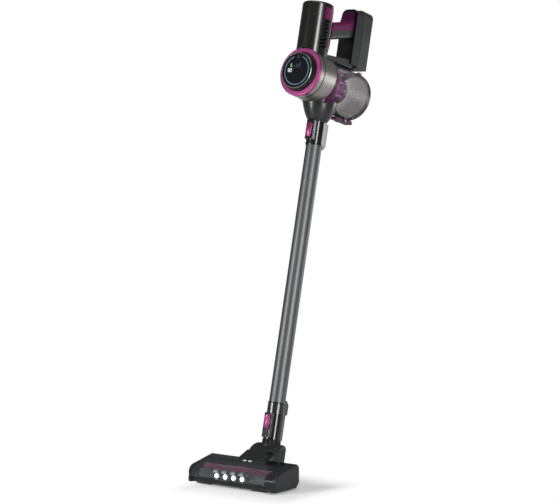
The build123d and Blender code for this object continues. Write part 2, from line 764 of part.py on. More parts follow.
def make_glide_pads():
    """Two felt pads under the front lip."""
    front = HEAD_FRONT + PAD_INSET
    left = block(IDLE_X + MOUTH_SIDE, IDLE_X + MOUTH_SIDE + PAD_LEN, front, front + PAD_DEPTH, 0, SOLE_Z)
    right = block(DRIVE_X - MOUTH_SIDE - PAD_LEN, DRIVE_X - MOUTH_SIDE, front, front + PAD_DEPTH, 0, SOLE_Z)
    return left + right


def make_led_board():
    """Headlight board standing on the lip."""
    half = LED_PITCH * LED_COUNT / 2
    top = LED_Z + LED_R + BOARD_EDGE
    return block(LED_CENTRE - half, LED_CENTRE + half, BOARD_Y - BOARD_T, BOARD_Y, WINDOW_FOOT, top)


def make_led_lenses():
    """Four stepped headlight lenses on the board's front face."""
    lenses = Part()
    seat = BOARD_Y - BOARD_T
    for index in range(LED_COUNT):
        x = LED_CENTRE + (index - (LED_COUNT - 1) / 2) * LED_PITCH
        lenses += rod_y(LED_R, seat - LED_FOOT, seat, x, LED_Z)
        lenses += rod_y(LED_TIP_R, seat - LED_LEN, seat - LED_FOOT, x, LED_Z)
    return lenses


def make_head_motor():
    """Flat-sided brush motor."""
    can = block(
        MOTOR_X - MOTOR_LEN, MOTOR_X,
        MOTOR_Y - MOTOR_DEPTH / 2, MOTOR_Y + MOTOR_DEPTH / 2,
        MOTOR_Z - MOTOR_HEIGHT / 2, MOTOR_Z + MOTOR_HEIGHT / 2,
    )
    can = fillet(can.edges().filter_by(Axis.X), MOTOR_CORNER)
    nose = MOTOR_X + MOTOR_BOSS_LEN
    can += rod_x(MOTOR_BOSS_R, MOTOR_X, nose, MOTOR_Y, MOTOR_Z)
    return can - rod_x(MOTOR_SHAFT_R + RUN_FIT, MOTOR_X - MOTOR_BORE_LEN, nose, MOTOR_Y, MOTOR_Z)


def make_motor_pulley():
    """Small belt pulley with its motor shaft."""
    wheel = rod_x(MOTOR_PULLEY_R, PULLEY_X, PULLEY_X + PULLEY_LEN, MOTOR_Y, MOTOR_Z)
    shaft_end = MOTOR_X - MOTOR_BORE_LEN + GAP
    return wheel + rod_x(MOTOR_SHAFT_R, shaft_end, PULLEY_X, MOTOR_Y, MOTOR_Z)


def make_brush_pulley():
    """Large belt pulley on the brush shaft."""
    wheel = rod_x(PULLEY_R, PULLEY_X, PULLEY_X + PULLEY_LEN, BRUSH_Y, BRUSH_Z)
    return wheel - rod_x(BRUSH_SHAFT_R + SEAT_FIT, PULLEY_X, PULLEY_X + PULLEY_LEN, BRUSH_Y, BRUSH_Z)


def belt_loop(extra):
    """Taut loop round both pulleys, grown outwards."""
    with BuildSketch(Plane.YZ) as sketch:
        with Locations((BRUSH_Y, BRUSH_Z)):
            Circle(PULLEY_R + extra)
        with Locations((MOTOR_Y, MOTOR_Z)):
            Circle(MOTOR_PULLEY_R + extra)
        make_hull()
    return sketch.sketch


def make_drive_belt():
    """Belt from the motor pulley to the brush pulley."""
    start = PULLEY_X + (PULLEY_LEN - BELT_W) / 2
    outer = prism_x(belt_loop(BELT_GAP + BELT_T), start, start + BELT_W)
    return outer - prism_x(belt_loop(BELT_GAP), start, start + BELT_W)


def make_brush_core():
    """Brush roll body with two end flanges."""
    left = IDLE_X + PLATE + CORE_END
    right = DRIVE_X - PLATE - CORE_END
    core = rod_x(CORE_R, left, right, BRUSH_Y, BRUSH_Z)
    for x in (left, right - CORE_END):
        core += rod_x(SLEEVE_R + FLANGE_PROUD, x, x + CORE_END, BRUSH_Y, BRUSH_Z)
    return core - rod_x(BRUSH_SHAFT_R + SEAT_FIT, left, right, BRUSH_Y, BRUSH_Z)


def make_brush_bristles():
    """Four winding rows of four-sided strands, all rooted in one sleeve on the core."""
    left = IDLE_X + PLATE + 2 * CORE_END + GAP
    right = DRIVE_X - PLATE - 2 * CORE_END - GAP
    sleeve = rod_x(SLEEVE_R, left, right) - rod_x(CORE_R + SEAT_FIT, left, right)
    strands = []
    pitch = (right - left - 2 * BRISTLE_W) / (BRISTLE_STEPS - 1)
    root = (CORE_R + SLEEVE_R) / 2
    strand = Pos(0, 0, root) * Box(BRISTLE_W, BRISTLE_W, BRISTLE_R - root, align=MIN_Z)
    for row in range(BRISTLE_ROWS):
        for step in range(BRISTLE_STEPS):
            turn = row * 360 / BRISTLE_ROWS + step * BRISTLE_TWIST / BRISTLE_STEPS
            strands.append(Pos(left + BRISTLE_W + step * pitch, 0, 0) * Rot(turn, 0, 0) * strand)
    return Pos(0, BRUSH_Y, BRUSH_Z) * sleeve.fuse(*strands)


def make_brush_shaft():
    """Steel shaft from the idle bush to the brush pulley."""
    end = PULLEY_X + PULLEY_LEN + BRUSH_SHAFT_END
    return rod_x(BRUSH_SHAFT_R, IDLE_X - BRUSH_SHAFT_END, end, BRUSH_Y, BRUSH_Z)


def make_brush_bushes():
    """Two bushes in the end plates, each with its flange on the outer face."""
    bushes = rod_x(BUSH_R, IDLE_X, IDLE_X + PLATE, BRUSH_Y, BRUSH_Z)
    bushes += rod_x(BUSH_R + BUSH_FLANGE, IDLE_X - BUSH_FLANGE_T, IDLE_X, BRUSH_Y, BRUSH_Z)
    bushes += rod_x(BUSH_R, DRIVE_X - PLATE, DRIVE_X, BRUSH_Y, BRUSH_Z)
    bushes += rod_x(BUSH_R + BUSH_FLANGE, DRIVE_X, DRIVE_X + BUSH_FLANGE_T, BRUSH_Y, BRUSH_Z)
    return bushes - rod_x(BRUSH_SHAFT_R + RUN_FIT, -LONG, LONG, BRUSH_Y, BRUSH_Z)


def wheel_axle(side, room=0.0):
    """Axle of one wheel, held in both walls of its box."""
    inner = WHEEL_X - WHEEL_W / 2 - AXLE_SEAT
    outer = WHEEL_X + WHEEL_W / 2 + AXLE_SEAT
    return flank_rod(side, AXLE_R + room, inner, outer, WHEEL_Y, WHEEL_R)


def make_head_pins():
    """Two wheel axles and the two pins of the neck's pitch hinge."""
    pins = both_sides(wheel_axle)
    inner = EAR_X - PIVOT_PIN_END
    pins += both_sides(lambda side: flank_rod(side, PIVOT_PIN_R, inner, YOKE_HALF, 0, PIVOT_H))
    return pins


def make_wheel(side):
    """Rear wheel with a rounded tread and a running bore."""
    x = side * WHEEL_X
    wheel = rod_x(WHEEL_R, x - WHEEL_W / 2, x + WHEEL_W / 2, WHEEL_Y, WHEEL_R)
    wheel = fillet(wheel.edges(), WHEEL_ROUND)
    return wheel - rod_x(AXLE_R + RUN_FIT, x - WHEEL_W, x + WHEEL_W, WHEEL_Y, WHEEL_R)


def cross_screw(length, radius, head_radius, head_height):
    """Screw standing on its head, with a crossed recess below."""
    screw = rod_z(head_radius, 0, head_height) + rod_z(radius, head_height, head_height + length)
    slot = Box(head_radius * RECESS_SHARE, RECESS_W, 2 * RECESS_D)
    return screw - slot - Rot(0, 0, 90) * slot


def make_base_screws():
    """Three screws that close the sole."""
    screws = Part()
    for x in SOLE_SCREWS_X:
        screw = cross_screw(SCREW_LEN, SCREW_R, SCREW_HEAD_R, SCREW_HEAD_T)
        screws += Pos(x, SOLE_SCREW_Y, SOLE_Z + SCREW_SUNK) * screw
    return screws


# Neck

def make_neck_yoke():
    """Half-drum hood with closed ends, a deck and the hollow journal that the wand turns on."""
    inner_half = YOKE_HALF - YOKE_WALL
    outer = rod_x(YOKE_R, -YOKE_HALF, YOKE_HALF)
    outer = fillet(outer.edges().filter_by(GeomType.CIRCLE), YOKE_ROUND)
    inner = rod_x(YOKE_R - YOKE_WALL, -inner_half, inner_half)
    drum = outer - fillet(inner.edges().filter_by(GeomType.CIRCLE), YOKE_ROUND - YOKE_WALL)
    low = math.radians(YOKE_LOW_ANGLE)
    reach = 1.5 * YOKE_R
    kept = side_face(
        (YOKE_CUT, reach),
        (YOKE_CUT, -PIVOT_BOSS_R),
        (-PIVOT_BOSS_R / 2, -PIVOT_BOSS_R),
        (reach * math.cos(low), reach * math.sin(low)),
        (-reach, reach),
    )
    hood = drum & prism_x(kept, -YOKE_HALF, YOKE_HALF)
    deck = block(-inner_half, inner_half, -DECK_R, YOKE_CUT, DECK_Z - DECK_T, DECK_Z)
    deck = (deck & outer) + rod_z(DECK_R, DECK_Z - DECK_T, DECK_Z)
    room = COLLAR_R + COLLAR_ROOM
    hood -= rod_z(room, DECK_Z, LONG) + block(-room, room, -LONG, 0, DECK_Z, LONG)
    yoke = hood + deck
    yoke += rod_z(JOURNAL_R, DECK_Z, JOURNAL_TOP)
    yoke += rod_z(JOURNAL_R + LIP_PROUD, JOURNAL_TOP - LIP_H, JOURNAL_TOP)
    yoke -= rod_z(JOURNAL_BORE, 0, JOURNAL_TOP)
    return yoke - rod_x(PIVOT_PIN_R + RUN_FIT, -YOKE_HALF, YOKE_HALF)


def make_neck_collar():
    """Notched ring on the deck, round the journal."""
    ring = ring_z(COLLAR_R, JOURNAL_R + SEAT_FIT, DECK_Z, SOCKET_FOOT - GAP)
    for index in range(COLLAR_NOTCHES):
        notch = block(COLLAR_R - NOTCH_D, LONG, -NOTCH_W / 2, NOTCH_W / 2, DECK_Z + NOTCH_FOOT, LONG)
        ring -= Rot(0, 0, 360 * index / COLLAR_NOTCHES) * notch
    return ring


def hose_stations():
    """Places along the hose, top first: down the neck axis, one round bend, then forward into the head."""
    lean = math.radians(LEAN)
    top = Vector(0, (DECK_Z - DECK_T) * math.sin(lean), PIVOT_H + (DECK_Z - DECK_T) * math.cos(lean))
    down = Vector(0, -math.sin(lean), -math.cos(lean))
    fall = (top.Z - DUCT_Z) / math.cos(lean)
    corner = top + down * fall
    turn = math.pi / 2 - lean
    tangent = HOSE_BEND * math.tan(turn / 2)
    first = fall - tangent
    last = corner.Y - HEAD_REAR - tangent
    bend = HOSE_BEND * turn
    total = first + bend + last
    centre = top + down * first + Vector(0, -math.cos(lean), math.sin(lean)) * HOSE_BEND

    def at(distance):
        if distance <= first:
            return top + down * distance, down
        if distance >= first + bend:
            rest = distance - first - bend
            return Vector(0, corner.Y - tangent - rest, DUCT_Z), Vector(0, -1, 0)
        angle = lean + (distance - first) / HOSE_BEND
        radial = Vector(0, math.cos(angle), -math.sin(angle))
        heading = Vector(0, -math.sin(angle), -math.cos(angle))
        return centre + radial * HOSE_BEND, heading

    return at, total


def hose_skin(radius_at, distances):
    """Ruled loft through circles along the hose, each kept on the same X axis."""
    at, _ = hose_stations()
    circles = []
    for index, distance in enumerate(distances):
        point, heading = at(distance)
        plane = Plane(origin=point, x_dir=(1, 0, 0), z_dir=heading)
        circles.append(plane * Circle(radius_at(index)))
    return loft(circles, ruled=True)


def make_neck_hose():
    """Ribbed air hose from the journal's deck to the head's duct, with plain cuffs."""
    _, total = hose_stations()
    pitch = (total - 2 * HOSE_CUFF) / HOSE_RIBS
    distances = [0.0]
    radii = [HOSE_R]
    distances.append(HOSE_CUFF - pitch / 4)
    radii.append(HOSE_R)
    for rib in range(HOSE_RIBS):
        start = HOSE_CUFF + rib * pitch
        for share, radius in ((0.0, HOSE_VALLEY), (0.25, HOSE_R), (0.5, HOSE_R), (0.75, HOSE_VALLEY)):
            distances.append(start + share * pitch)
            radii.append(radius)
    distances.append(total - HOSE_CUFF)
    radii.append(HOSE_R)
    distances.append(total)
    radii.append(HOSE_R)
    outside = hose_skin(lambda index: radii[index], distances)
    return outside - hose_skin(lambda index: HOSE_BORE, distances)


# Wand and couplings

def latch_pocket(z):
    """Room for one rocker latch: a front pocket outside the socket wall and a window for its nib."""
    half = LATCH_HALF + LATCH_SIDE_GAP
    foot = z - LATCH_TAIL - LATCH_TAIL_ROOM
    pocket = block(-half, half, -LONG, 0, foot, z + LATCH_NOSE + LATCH_NOSE_ROOM)
    window_half = NIB_HALF + LATCH_SIDE_GAP
    window = block(-window_half, window_half, -LONG, 0, z + NIB_LOW - NIB_SWING, z + NIB_HIGH + NIB_SWING)
    pin = rod_x(LATCH_PIN_R + SEAT_FIT, -LONG, LONG, LATCH_PIN_Y, z)
    return (pocket - rod_z(SOCKET_R, 0, 2 * UPPER_TOP)) + window + pin


def latch_bump(foot, top):
    """Raised cheeks in front of a socket that hold the latch pin."""
    half = LATCH_HALF + LATCH_SIDE_GAP + CHEEK
    bump = block(-half, half, BUMP_FACE, 0, foot, top)
    edges = bump.edges().filter_by(Axis.Z).group_by(Axis.Y)[0]
    return fillet(edges, CHEEK)


def latch_notch(z):
    """Notch in a stub that the latch nib drops into."""
    half = NIB_HALF + 2 * LATCH_SIDE_GAP
    depth = NIB_TIP + NIB_DEPTH_ROOM
    return block(-half, half, -LONG, depth, z + NIB_LOW - NIB_SWING, z + NIB_HIGH + NIB_SWING)


def make_latch(z):
    """Rocker latch: thumb tail below its pin, nib above it."""
    face = side_face(
        (LATCH_FACE + 1.2, z - LATCH_TAIL),
        (LATCH_FACE, z - LATCH_TAIL * 0.35),
        (LATCH_FACE + 0.4, z + LATCH_NOSE * 0.5),
        (LATCH_FACE + 1.6, z + LATCH_NOSE),
        (LATCH_PIN_Y, z + LATCH_NOSE),
        (LATCH_PIN_Y, z + NIB_LOW),
        (LATCH_INNER, z + LATCH_WAIST),
        (LATCH_INNER, z - LATCH_WAIST),
        (LATCH_TAIL_Y, z - LATCH_TAIL),
    )
    lever = prism_x(face, -LATCH_HALF, LATCH_HALF)
    front = lever.edges().filter_by(Plane.YZ).group_by(Axis.Y)[0]
    lever = fillet(front, LATCH_ROUND)
    lever += block(-NIB_HALF, NIB_HALF, LATCH_PIN_Y, NIB_TIP, z + NIB_LOW, z + NIB_HIGH)
    return lever - rod_x(LATCH_PIN_R + RUN_FIT, -LONG, LONG, LATCH_PIN_Y, z)


def contact_block(foot, top, tail_down):
    """Rear block that carries the electrical contacts, with one sloped end."""
    front = WAND_R - BLOCK_BITE
    slope = BLOCK_BACK - WAND_R
    if tail_down:
        back = ((WAND_R, foot), (BLOCK_BACK, foot + slope), (BLOCK_BACK, top))
    else:
        back = ((BLOCK_BACK, foot), (BLOCK_BACK, top - slope), (WAND_R, top))
    face = side_face((front, foot), *back, (front, top))
    made = prism_x(face, -BLOCK_HALF, BLOCK_HALF)
    return fillet(made.edges().filter_by(Axis.Z).group_by(Axis.Y)[-1], BLOCK_ROUND)


def make_neck_socket():
    """Socket that turns on the journal and takes the wand's lower stub."""
    body = rod_z(SOCKET_R, SOCKET_FOOT, SOCKET_TOP)
    body += latch_bump(SOCKET_FOOT + BUMP_FOOT, SOCKET_TOP)
    body += block(-RIB_HALF, RIB_HALF, 0, SOCKET_R + RIB_T, SOCKET_FOOT, SOCKET_TOP)
    body -= latch_pocket(LATCH_LOW_Z)
    chamber = JOURNAL_TOP - LIP_H - GAP
    body -= rod_z(JOURNAL_R + RUN_FIT, 0, chamber)
    body -= rod_z(JOURNAL_R + LIP_PROUD + GAP, chamber, JOURNAL_TOP + 2 * GAP)
    body -= rod_z(STUB_R + 2 * RUN_FIT, JOURNAL_TOP + 2 * GAP, SOCKET_TOP)
    return body


def make_wand_lower_collar():
    """Lower wand fitting: stub below, tube seat above, contact block behind."""
    top = SOCKET_TOP + COLLAR_LEN
    body = rod_z(FITTING_R, SOCKET_TOP, top)
    body += contact_block(SOCKET_TOP, top + BLOCK_TAIL, False)
    body += rod_z(STUB_R, SOCKET_TOP - STUB_LEN, SOCKET_TOP)
    body -= rod_z(STUB_BORE, 0, TUBE_FOOT)
    body -= rod_z(WAND_R + SEAT_FIT, TUBE_FOOT, LONG)
    return body - (latch_notch(LATCH_LOW_Z) & rod_z(STUB_R, 0, SOCKET_TOP))


def make_wand_tube():
    """Drawn aluminium tube."""
    return ring_z(WAND_R, WAND_R - WAND_WALL, TUBE_FOOT, TUBE_HEAD)


def make_wand_harness():
    """Two wires clipped along the inside of the tube."""
    y = WAND_R - WAND_WALL - WIRE_R - WIRE_SINK
    return rod_z(WIRE_R, TUBE_FOOT, TUBE_HEAD, -WIRE_X, y) + rod_z(WIRE_R, TUBE_FOOT, TUBE_HEAD, WIRE_X, y)


def make_wand_upper_socket():
    """Upper wand fitting: tube seat below, socket for the intake stub above, contact block behind."""
    foot = UPPER_TOP - UPPER_LEN
    body = rod_z(FITTING_R, foot, UPPER_TOP)
    body += contact_block(foot - BLOCK_TAIL, UPPER_TOP, True)
    body += latch_bump(LATCH_HIGH_Z - LATCH_TAIL - BUMP_TAIL, UPPER_TOP)
    body -= latch_pocket(LATCH_HIGH_Z)
    body -= rod_z(WAND_R + SEAT_FIT, foot - BLOCK_TAIL, TUBE_HEAD)
    body -= rod_z(STUB_BORE, TUBE_HEAD, UPPER_TOP)
    return body - rod_z(STUB_R + 2 * RUN_FIT, TUBE_HEAD + STUB_SEAT - GAP, UPPER_TOP)


# Hand unit

def bowl(foot_r, top_r):
    """Round bowl between the wand and the drum, whose side bellies out from a straight cone."""
    middle = ((foot_r + top_r) / 2 + FUNNEL_BELLY, (UPPER_TOP + FUNNEL_TOP) / 2)
    with BuildSketch(Plane.XZ) as sketch:
        with BuildLine():
            ThreePointArc((foot_r, UPPER_TOP), middle, (top_r, FUNNEL_TOP))
            Polyline((top_r, FUNNEL_TOP), (0, FUNNEL_TOP), (0, UPPER_TOP), (foot_r, UPPER_TOP))
        make_face()
    return revolve(sketch.sketch, Axis.Z)


def make_intake_duct():
    """Funnel from the wand up to the drum and the bin, with the stub that the wand's latch holds."""
    funnel = bowl(FUNNEL_R0, FUNNEL_R1)
    bore = bowl(STUB_BORE, FUNNEL_R1 - FUNNEL_WALL)
    stub_foot = TUBE_HEAD + STUB_SEAT
    funnel += rod_z(STUB_R, stub_foot, UPPER_TOP)
    funnel -= bore + rod_z(STUB_BORE, stub_foot, UPPER_TOP)
    funnel -= rod_y(HOUSING_R + SEAT_FIT, -LONG, HOUSING_REAR, 0, HOUSING_Z)
    funnel -= rod_y(BIN_R + SEAT_FIT, HOUSING_REAR, LONG, 0, BIN_Z)
    return funnel - (latch_notch(LATCH_HIGH_Z) & rod_z(STUB_R, stub_foot, UPPER_TOP))


def make_main_housing():
    """Drum housing: open front, closed back, with the air holes to the bin and the tower."""
    drum = rod_y(HOUSING_R, HOUSING_FRONT, HOUSING_REAR, 0, HOUSING_Z)
    drum -= rod_y(HOUSING_R - HOUSING_WALL, HOUSING_FRONT, HOUSING_REAR - HOUSING_WALL, 0, HOUSING_Z)
    drum -= ring_y(LONG, HOUSING_R - SLIT_D, SLIT_Y - SLIT_W / 2, SLIT_Y + SLIT_W / 2, HOUSING_Z)
    drum -= rod_y(AIR_HOLE_R, HOUSING_REAR - 2 * HOUSING_WALL, HOUSING_REAR, 0, BIN_Z)
    return drum - rod_z(SHELF_BORE, HOUSING_Z, TOWER_TOP, 0, TOWER_Y)


def make_front_ring():
    """Coloured ring on the front of the drum."""
    front = HOUSING_FRONT - RING_T
    ring = rod_y(HOUSING_R, front, HOUSING_FRONT, 0, HOUSING_Z)
    ring = fillet(ring.edges().group_by(Axis.Y)[0], RING_EDGE)
    return ring - rod_y(RING_IN, front, HOUSING_FRONT, 0, HOUSING_Z)


def make_display_bezel():
    """Tapered puck standing out of the ring, flanged behind it and stepped for the glass and board."""
    front = BEZEL_FRONT
    root = HOUSING_FRONT - RING_T
    back = HOUSING_FRONT + BEZEL_DEPTH
    seat = LEDGE_Y + BOARD_SEAT
    puck = Cone(RING_IN - BEZEL_FIT, LENS_R + BEZEL_FIT + BEZEL_RIM, BEZEL_PROUD, align=MIN_Z)
    puck = Pos(0, root, HOUSING_Z) * Rot(90, 0, 0) * puck
    puck = chamfer(puck.edges().group_by(Axis.Y)[0], BEZEL_EDGE)
    bezel = puck + rod_y(RING_IN - BEZEL_FIT, root, back, 0, HOUSING_Z)
    flange_r = HOUSING_R - HOUSING_WALL - BEZEL_FIT
    bezel += rod_y(flange_r, HOUSING_FRONT, HOUSING_FRONT + BEZEL_FLANGE, 0, HOUSING_Z)
    bezel -= rod_y(LENS_R + BEZEL_FIT, front, LEDGE_Y, 0, HOUSING_Z)
    bezel -= rod_y(LENS_R - LEDGE, LEDGE_Y, seat, 0, HOUSING_Z)
    return bezel - rod_y(LENS_R - 2 * LEDGE, seat, back, 0, HOUSING_Z)


def light_band(room):
    """Open ring of light, with its gap at the top."""
    outer = LIGHT_R + LIGHT_W / 2 + room
    inner = LIGHT_R - LIGHT_W / 2 - room
    front = LEDGE_Y - LENS_T
    band = ring_y(outer, inner, front, front + LIGHT_T + room, HOUSING_Z)
    spread = math.radians((360 - LIGHT_ARC) / 2)
    wide = LONG * math.sin(spread)
    tall = LONG * math.cos(spread)
    wedge = Plane.XZ * make_face(Polyline((0, 0), (wide, tall), (-wide, tall), close=True))
    gap = Pos(0, front, HOUSING_Z) * extrude(wedge, RING_T, both=True)
    return band - gap


def make_display_lens():
    """Black display glass with a groove for the light ring."""
    disc = rod_y(LENS_R, LEDGE_Y - LENS_T, LEDGE_Y, 0, HOUSING_Z)
    return disc - light_band(SEAT_FIT)


def make_display_board():
    """Round display board on the bezel's inner step."""
    seat = LEDGE_Y + BOARD_SEAT
    return rod_y(LENS_R - LEDGE - GAP, seat - BOARD_T, seat, 0, HOUSING_Z)


def vent_slots(side):
    """Slanted exhaust slots on one side of the tower."""
    slots = Part()
    turn = VENT_AZ if side > 0 else 180 - VENT_AZ
    for index in range(VENTS):
        place = Pos(TOWER_R, 0, VENT_FOOT + index * VENT_PITCH) * Rot(side * VENT_TILT, 0, 0)
        slots += Pos(0, TOWER_Y, 0) * Rot(0, 0, turn) * place * Box(TOWER_R / 2, VENT_W, VENT_H)
    return slots


def make_tower_shell():
    """Round motor tower, saddled onto the drum, with a motor shelf and vent slots."""
    shell = rod_z(TOWER_R, HOUSING_Z, TOWER_TOP, 0, TOWER_Y)
    shell -= rod_z(TOWER_R - TOWER_WALL, HOUSING_Z, TOWER_TOP, 0, TOWER_Y)
    shell -= rod_y(HOUSING_R + SEAT_FIT, -LONG, LONG, 0, HOUSING_Z)
    shell -= both_sides(vent_slots)
    bore = TOWER_R - TOWER_WALL
    shelf = ring_z(bore + TOWER_WALL / 2, SHELF_BORE, SHELF_Z, SHELF_Z + SHELF_T, 0, TOWER_Y)
    return shell + shelf


def make_tower_cap():
    """Rounded lid of the tower."""
    cap = rod_z(TOWER_R, TOWER_TOP, TOWER_TOP + CAP_T, 0, TOWER_Y)
    return fillet(cap.edges().group_by(Axis.Z)[-1], CAP_ROUND)


def tower_wrap(azimuth, foot):
    """Thin panel round the back of the tower, starting at an azimuth on each side."""
    top = TOWER_TOP - WRAP_DROP
    panel = ring_z(TOWER_R + WRAP_T, TOWER_R + SEAT_FIT, foot, top, 0, TOWER_Y)
    start = TOWER_Y + TOWER_R * math.sin(math.radians(azimuth))
    return panel & block(-LONG, LONG, start, LONG, foot, top)


def make_tower_spine():
    """Coloured spine and panel behind the tower, with the recess that the trigger moves into."""
    spine = block(-SPINE_HALF, SPINE_HALF, TOWER_Y + TOWER_R / 2, SPINE_BACK, SPINE_FOOT, SPINE_TOP)
    spine = fillet(spine.edges().filter_by(Axis.Z).group_by(Axis.Y)[-1], SPINE_ROUND)
    spine -= rod_z(TOWER_R + SEAT_FIT, SPINE_FOOT, SPINE_TOP, 0, TOWER_Y)
    spine += tower_wrap(WRAP_AZ, SPINE_FOOT) + tower_wrap(CROWN_AZ, TOWER_TOP - WRAP_DROP - CROWN_H)
    half = TRIGGER_HALF + TRIGGER_GAP
    recess_foot = TRIGGER_PIN_Z - TRIGGER_DROP - TRIGGER_FOOTROOM
    recess_top = TRIGGER_PIN_Z + TRIGGER_HEADROOM
    return spine - block(-half, half, SPINE_BACK - TRIGGER_RECESS, SPINE_BACK, recess_foot, recess_top)


def make_suction_motor():
    """Suction motor can with a blind shaft bore."""
    top = FAN_MOTOR_FOOT + FAN_MOTOR_H
    can = rod_z(FAN_MOTOR_R, FAN_MOTOR_FOOT, top, 0, TOWER_Y)
    can = fillet(can.edges().group_by(Axis.Z)[-1], FAN_MOTOR_ROUND)
    return can - rod_z(FAN_SHAFT_R + RUN_FIT, FAN_MOTOR_FOOT, FAN_MOTOR_FOOT + FAN_BORE_LEN, 0, TOWER_Y)


def make_impeller():
    """Fan wheel with radial blades under a back plate, on the motor shaft."""
    top = FAN_FOOT + FAN_H
    fan = rod_z(FAN_HUB_R, FAN_FOOT, top) + rod_z(FAN_R, top - FAN_PLATE, top)
    inner = FAN_HUB_R - BLADE_BITE
    outer = FAN_R - BLADE_BITE
    for index in range(FAN_BLADES):
        blade = block(inner, outer, -BLADE_T / 2, BLADE_T / 2, FAN_FOOT + FAN_PLATE, top)
        fan += Rot(0, 0, 360 * index / FAN_BLADES) * blade
    fan += rod_z(FAN_SHAFT_R, FAN_FOOT, FAN_MOTOR_FOOT + FAN_SHAFT_LEN)
    return Pos(0, TOWER_Y, 0) * fan


def make_exhaust_filter():
    """Filter ring under the tower cap."""
    outer = TOWER_R - TOWER_WALL - FILTER_FIT
    return ring_z(outer, outer - FILTER_WALL, TOWER_TOP - FILTER_H, TOWER_TOP, 0, TOWER_Y)


def arm_top(y):
    """Height of the lower arm's top, which rises towards the dock."""
    share = (y - HOUSING_REAR) / (DOCK_FRONT - HOUSING_REAR)
    return ARM_FRONT_TOP + (ARM_BACK_TOP - ARM_FRONT_TOP) * share


def make_lower_arm():
    """Saddle over the bin, from the drum to the battery dock."""
    face = side_face(
        (HOUSING_REAR, ARM_FOOT),
        (HOUSING_REAR, arm_top(HOUSING_REAR)),
        (DOCK_FRONT, arm_top(DOCK_FRONT)),
        (DOCK_FRONT, DOCK_FOOT),
        (ARM_END, DOCK_FOOT),
        (ARM_END, ARM_FOOT),
    )
    arm = prism_x(face, -ARM_HALF, ARM_HALF)
    arm -= rod_z(TOWER_R + SEAT_FIT, ARM_FOOT, TOWER_TOP, 0, TOWER_Y)
    return arm - side_screw_hole(*ARM_SCREW)


ARM_SCREW_Z = (ARM_FOOT + ARM_FRONT_TOP) / 2 + ARM_SCREW_LIFT
ARM_SCREW = (ARM_HALF, (HOUSING_REAR + DOCK_FRONT) / 2, ARM_SCREW_Z)
DOCK_SCREWS = (
    (DOCK_HALF, (DOCK_FRONT + DOCK_REAR) / 2, DOCK_FOOT + DOCK_SCREW_END),
    (DOCK_HALF, (DOCK_FRONT + DOCK_REAR) / 2, DOCK_TOP - DOCK_SCREW_END),
)


def side_screw_hole(half, y, z):
    """Recess and shank hole for a screw driven in from the right-hand side."""
    recess = rod_x(SCREW_HEAD_R + GAP, -half, -half + SCREW_HEAD_T + SIDE_SCREW_SUNK, y, z)
    return recess + rod_x(SCREW_R + SEAT_FIT, -half, -half + SIDE_SCREW_LEN + SIDE_SCREW_ROOM, y, z)


def make_housing_screws():
    """Screws that close the hand unit, driven from the right-hand side."""
    screws = Part()
    for half, y, z in (ARM_SCREW,) + DOCK_SCREWS:
        screw = Rot(0, 90, 0) * cross_screw(SIDE_SCREW_LEN, SCREW_R, SCREW_HEAD_R, SCREW_HEAD_T)
        screws += Pos(-half + SIDE_SCREW_SUNK, y, z) * screw
    return screws


def handle_low(y):
    """Height of the grip's underside, which climbs from the spine to the dock."""
    return HANDLE_LOW + HANDLE_RISE * (y - SPINE_BACK) / (DOCK_FRONT - SPINE_BACK)


def make_handle_cover():
    """Coloured upper half of the handle, turned up at the dock."""
    split = HANDLE_H / 2
    turn_y = DOCK_FRONT - COVER_TURN
    face = side_face(
        (SPINE_BACK, handle_low(SPINE_BACK) + split),
        (SPINE_BACK, handle_low(SPINE_BACK) + HANDLE_H),
        (turn_y, handle_low(turn_y) + HANDLE_H),
        (DOCK_FRONT - COVER_LIP, DOCK_TOP - DOCK_ROUND / 2),
        (DOCK_FRONT, DOCK_TOP - DOCK_ROUND / 2),
        (DOCK_FRONT, handle_low(DOCK_FRONT) + split),
    )
    cover = prism_x(face, -HANDLE_HALF, HANDLE_HALF)
    level = handle_low(SPINE_BACK) + HANDLE_H
    top = cover.edges().filter_by(Plane.YZ).filter_by(lambda edge: edge.center().Z > level)
    return fillet(top.filter_by(lambda edge: edge.center().Y < turn_y), HANDLE_EDGE)


def make_handle_grip():
    """Dark lower half of the handle, slotted in front for the trigger."""
    split = HANDLE_H / 2
    face = side_face(
        (SPINE_BACK, handle_low(SPINE_BACK)),
        (SPINE_BACK, handle_low(SPINE_BACK) + split),
        (DOCK_FRONT, handle_low(DOCK_FRONT) + split),
        (DOCK_FRONT, handle_low(DOCK_FRONT)),
    )
    grip = prism_x(face, -HANDLE_HALF, HANDLE_HALF)
    under = grip.edges().filter_by(Plane.YZ).filter_by(
        lambda edge: abs(edge.center().Y - (SPINE_BACK + DOCK_FRONT) / 2) < 1
    )
    grip = fillet(under.group_by(Axis.Z)[0], HANDLE_EDGE)
    half = TRIGGER_HALF + TRIGGER_GAP
    reach = half + TRIGGER_PIN_BITE
    slot_top = TRIGGER_PIN_Z + TRIGGER_TOP_R + TRIGGER_GAP
    grip -= block(-half, half, SPINE_BACK, TRIGGER_BACK + TRIGGER_SWING, 0, slot_top)
    return grip - rod_x(TRIGGER_PIN_R + SEAT_FIT, -reach, reach, TRIGGER_PIN_Y, TRIGGER_PIN_Z)


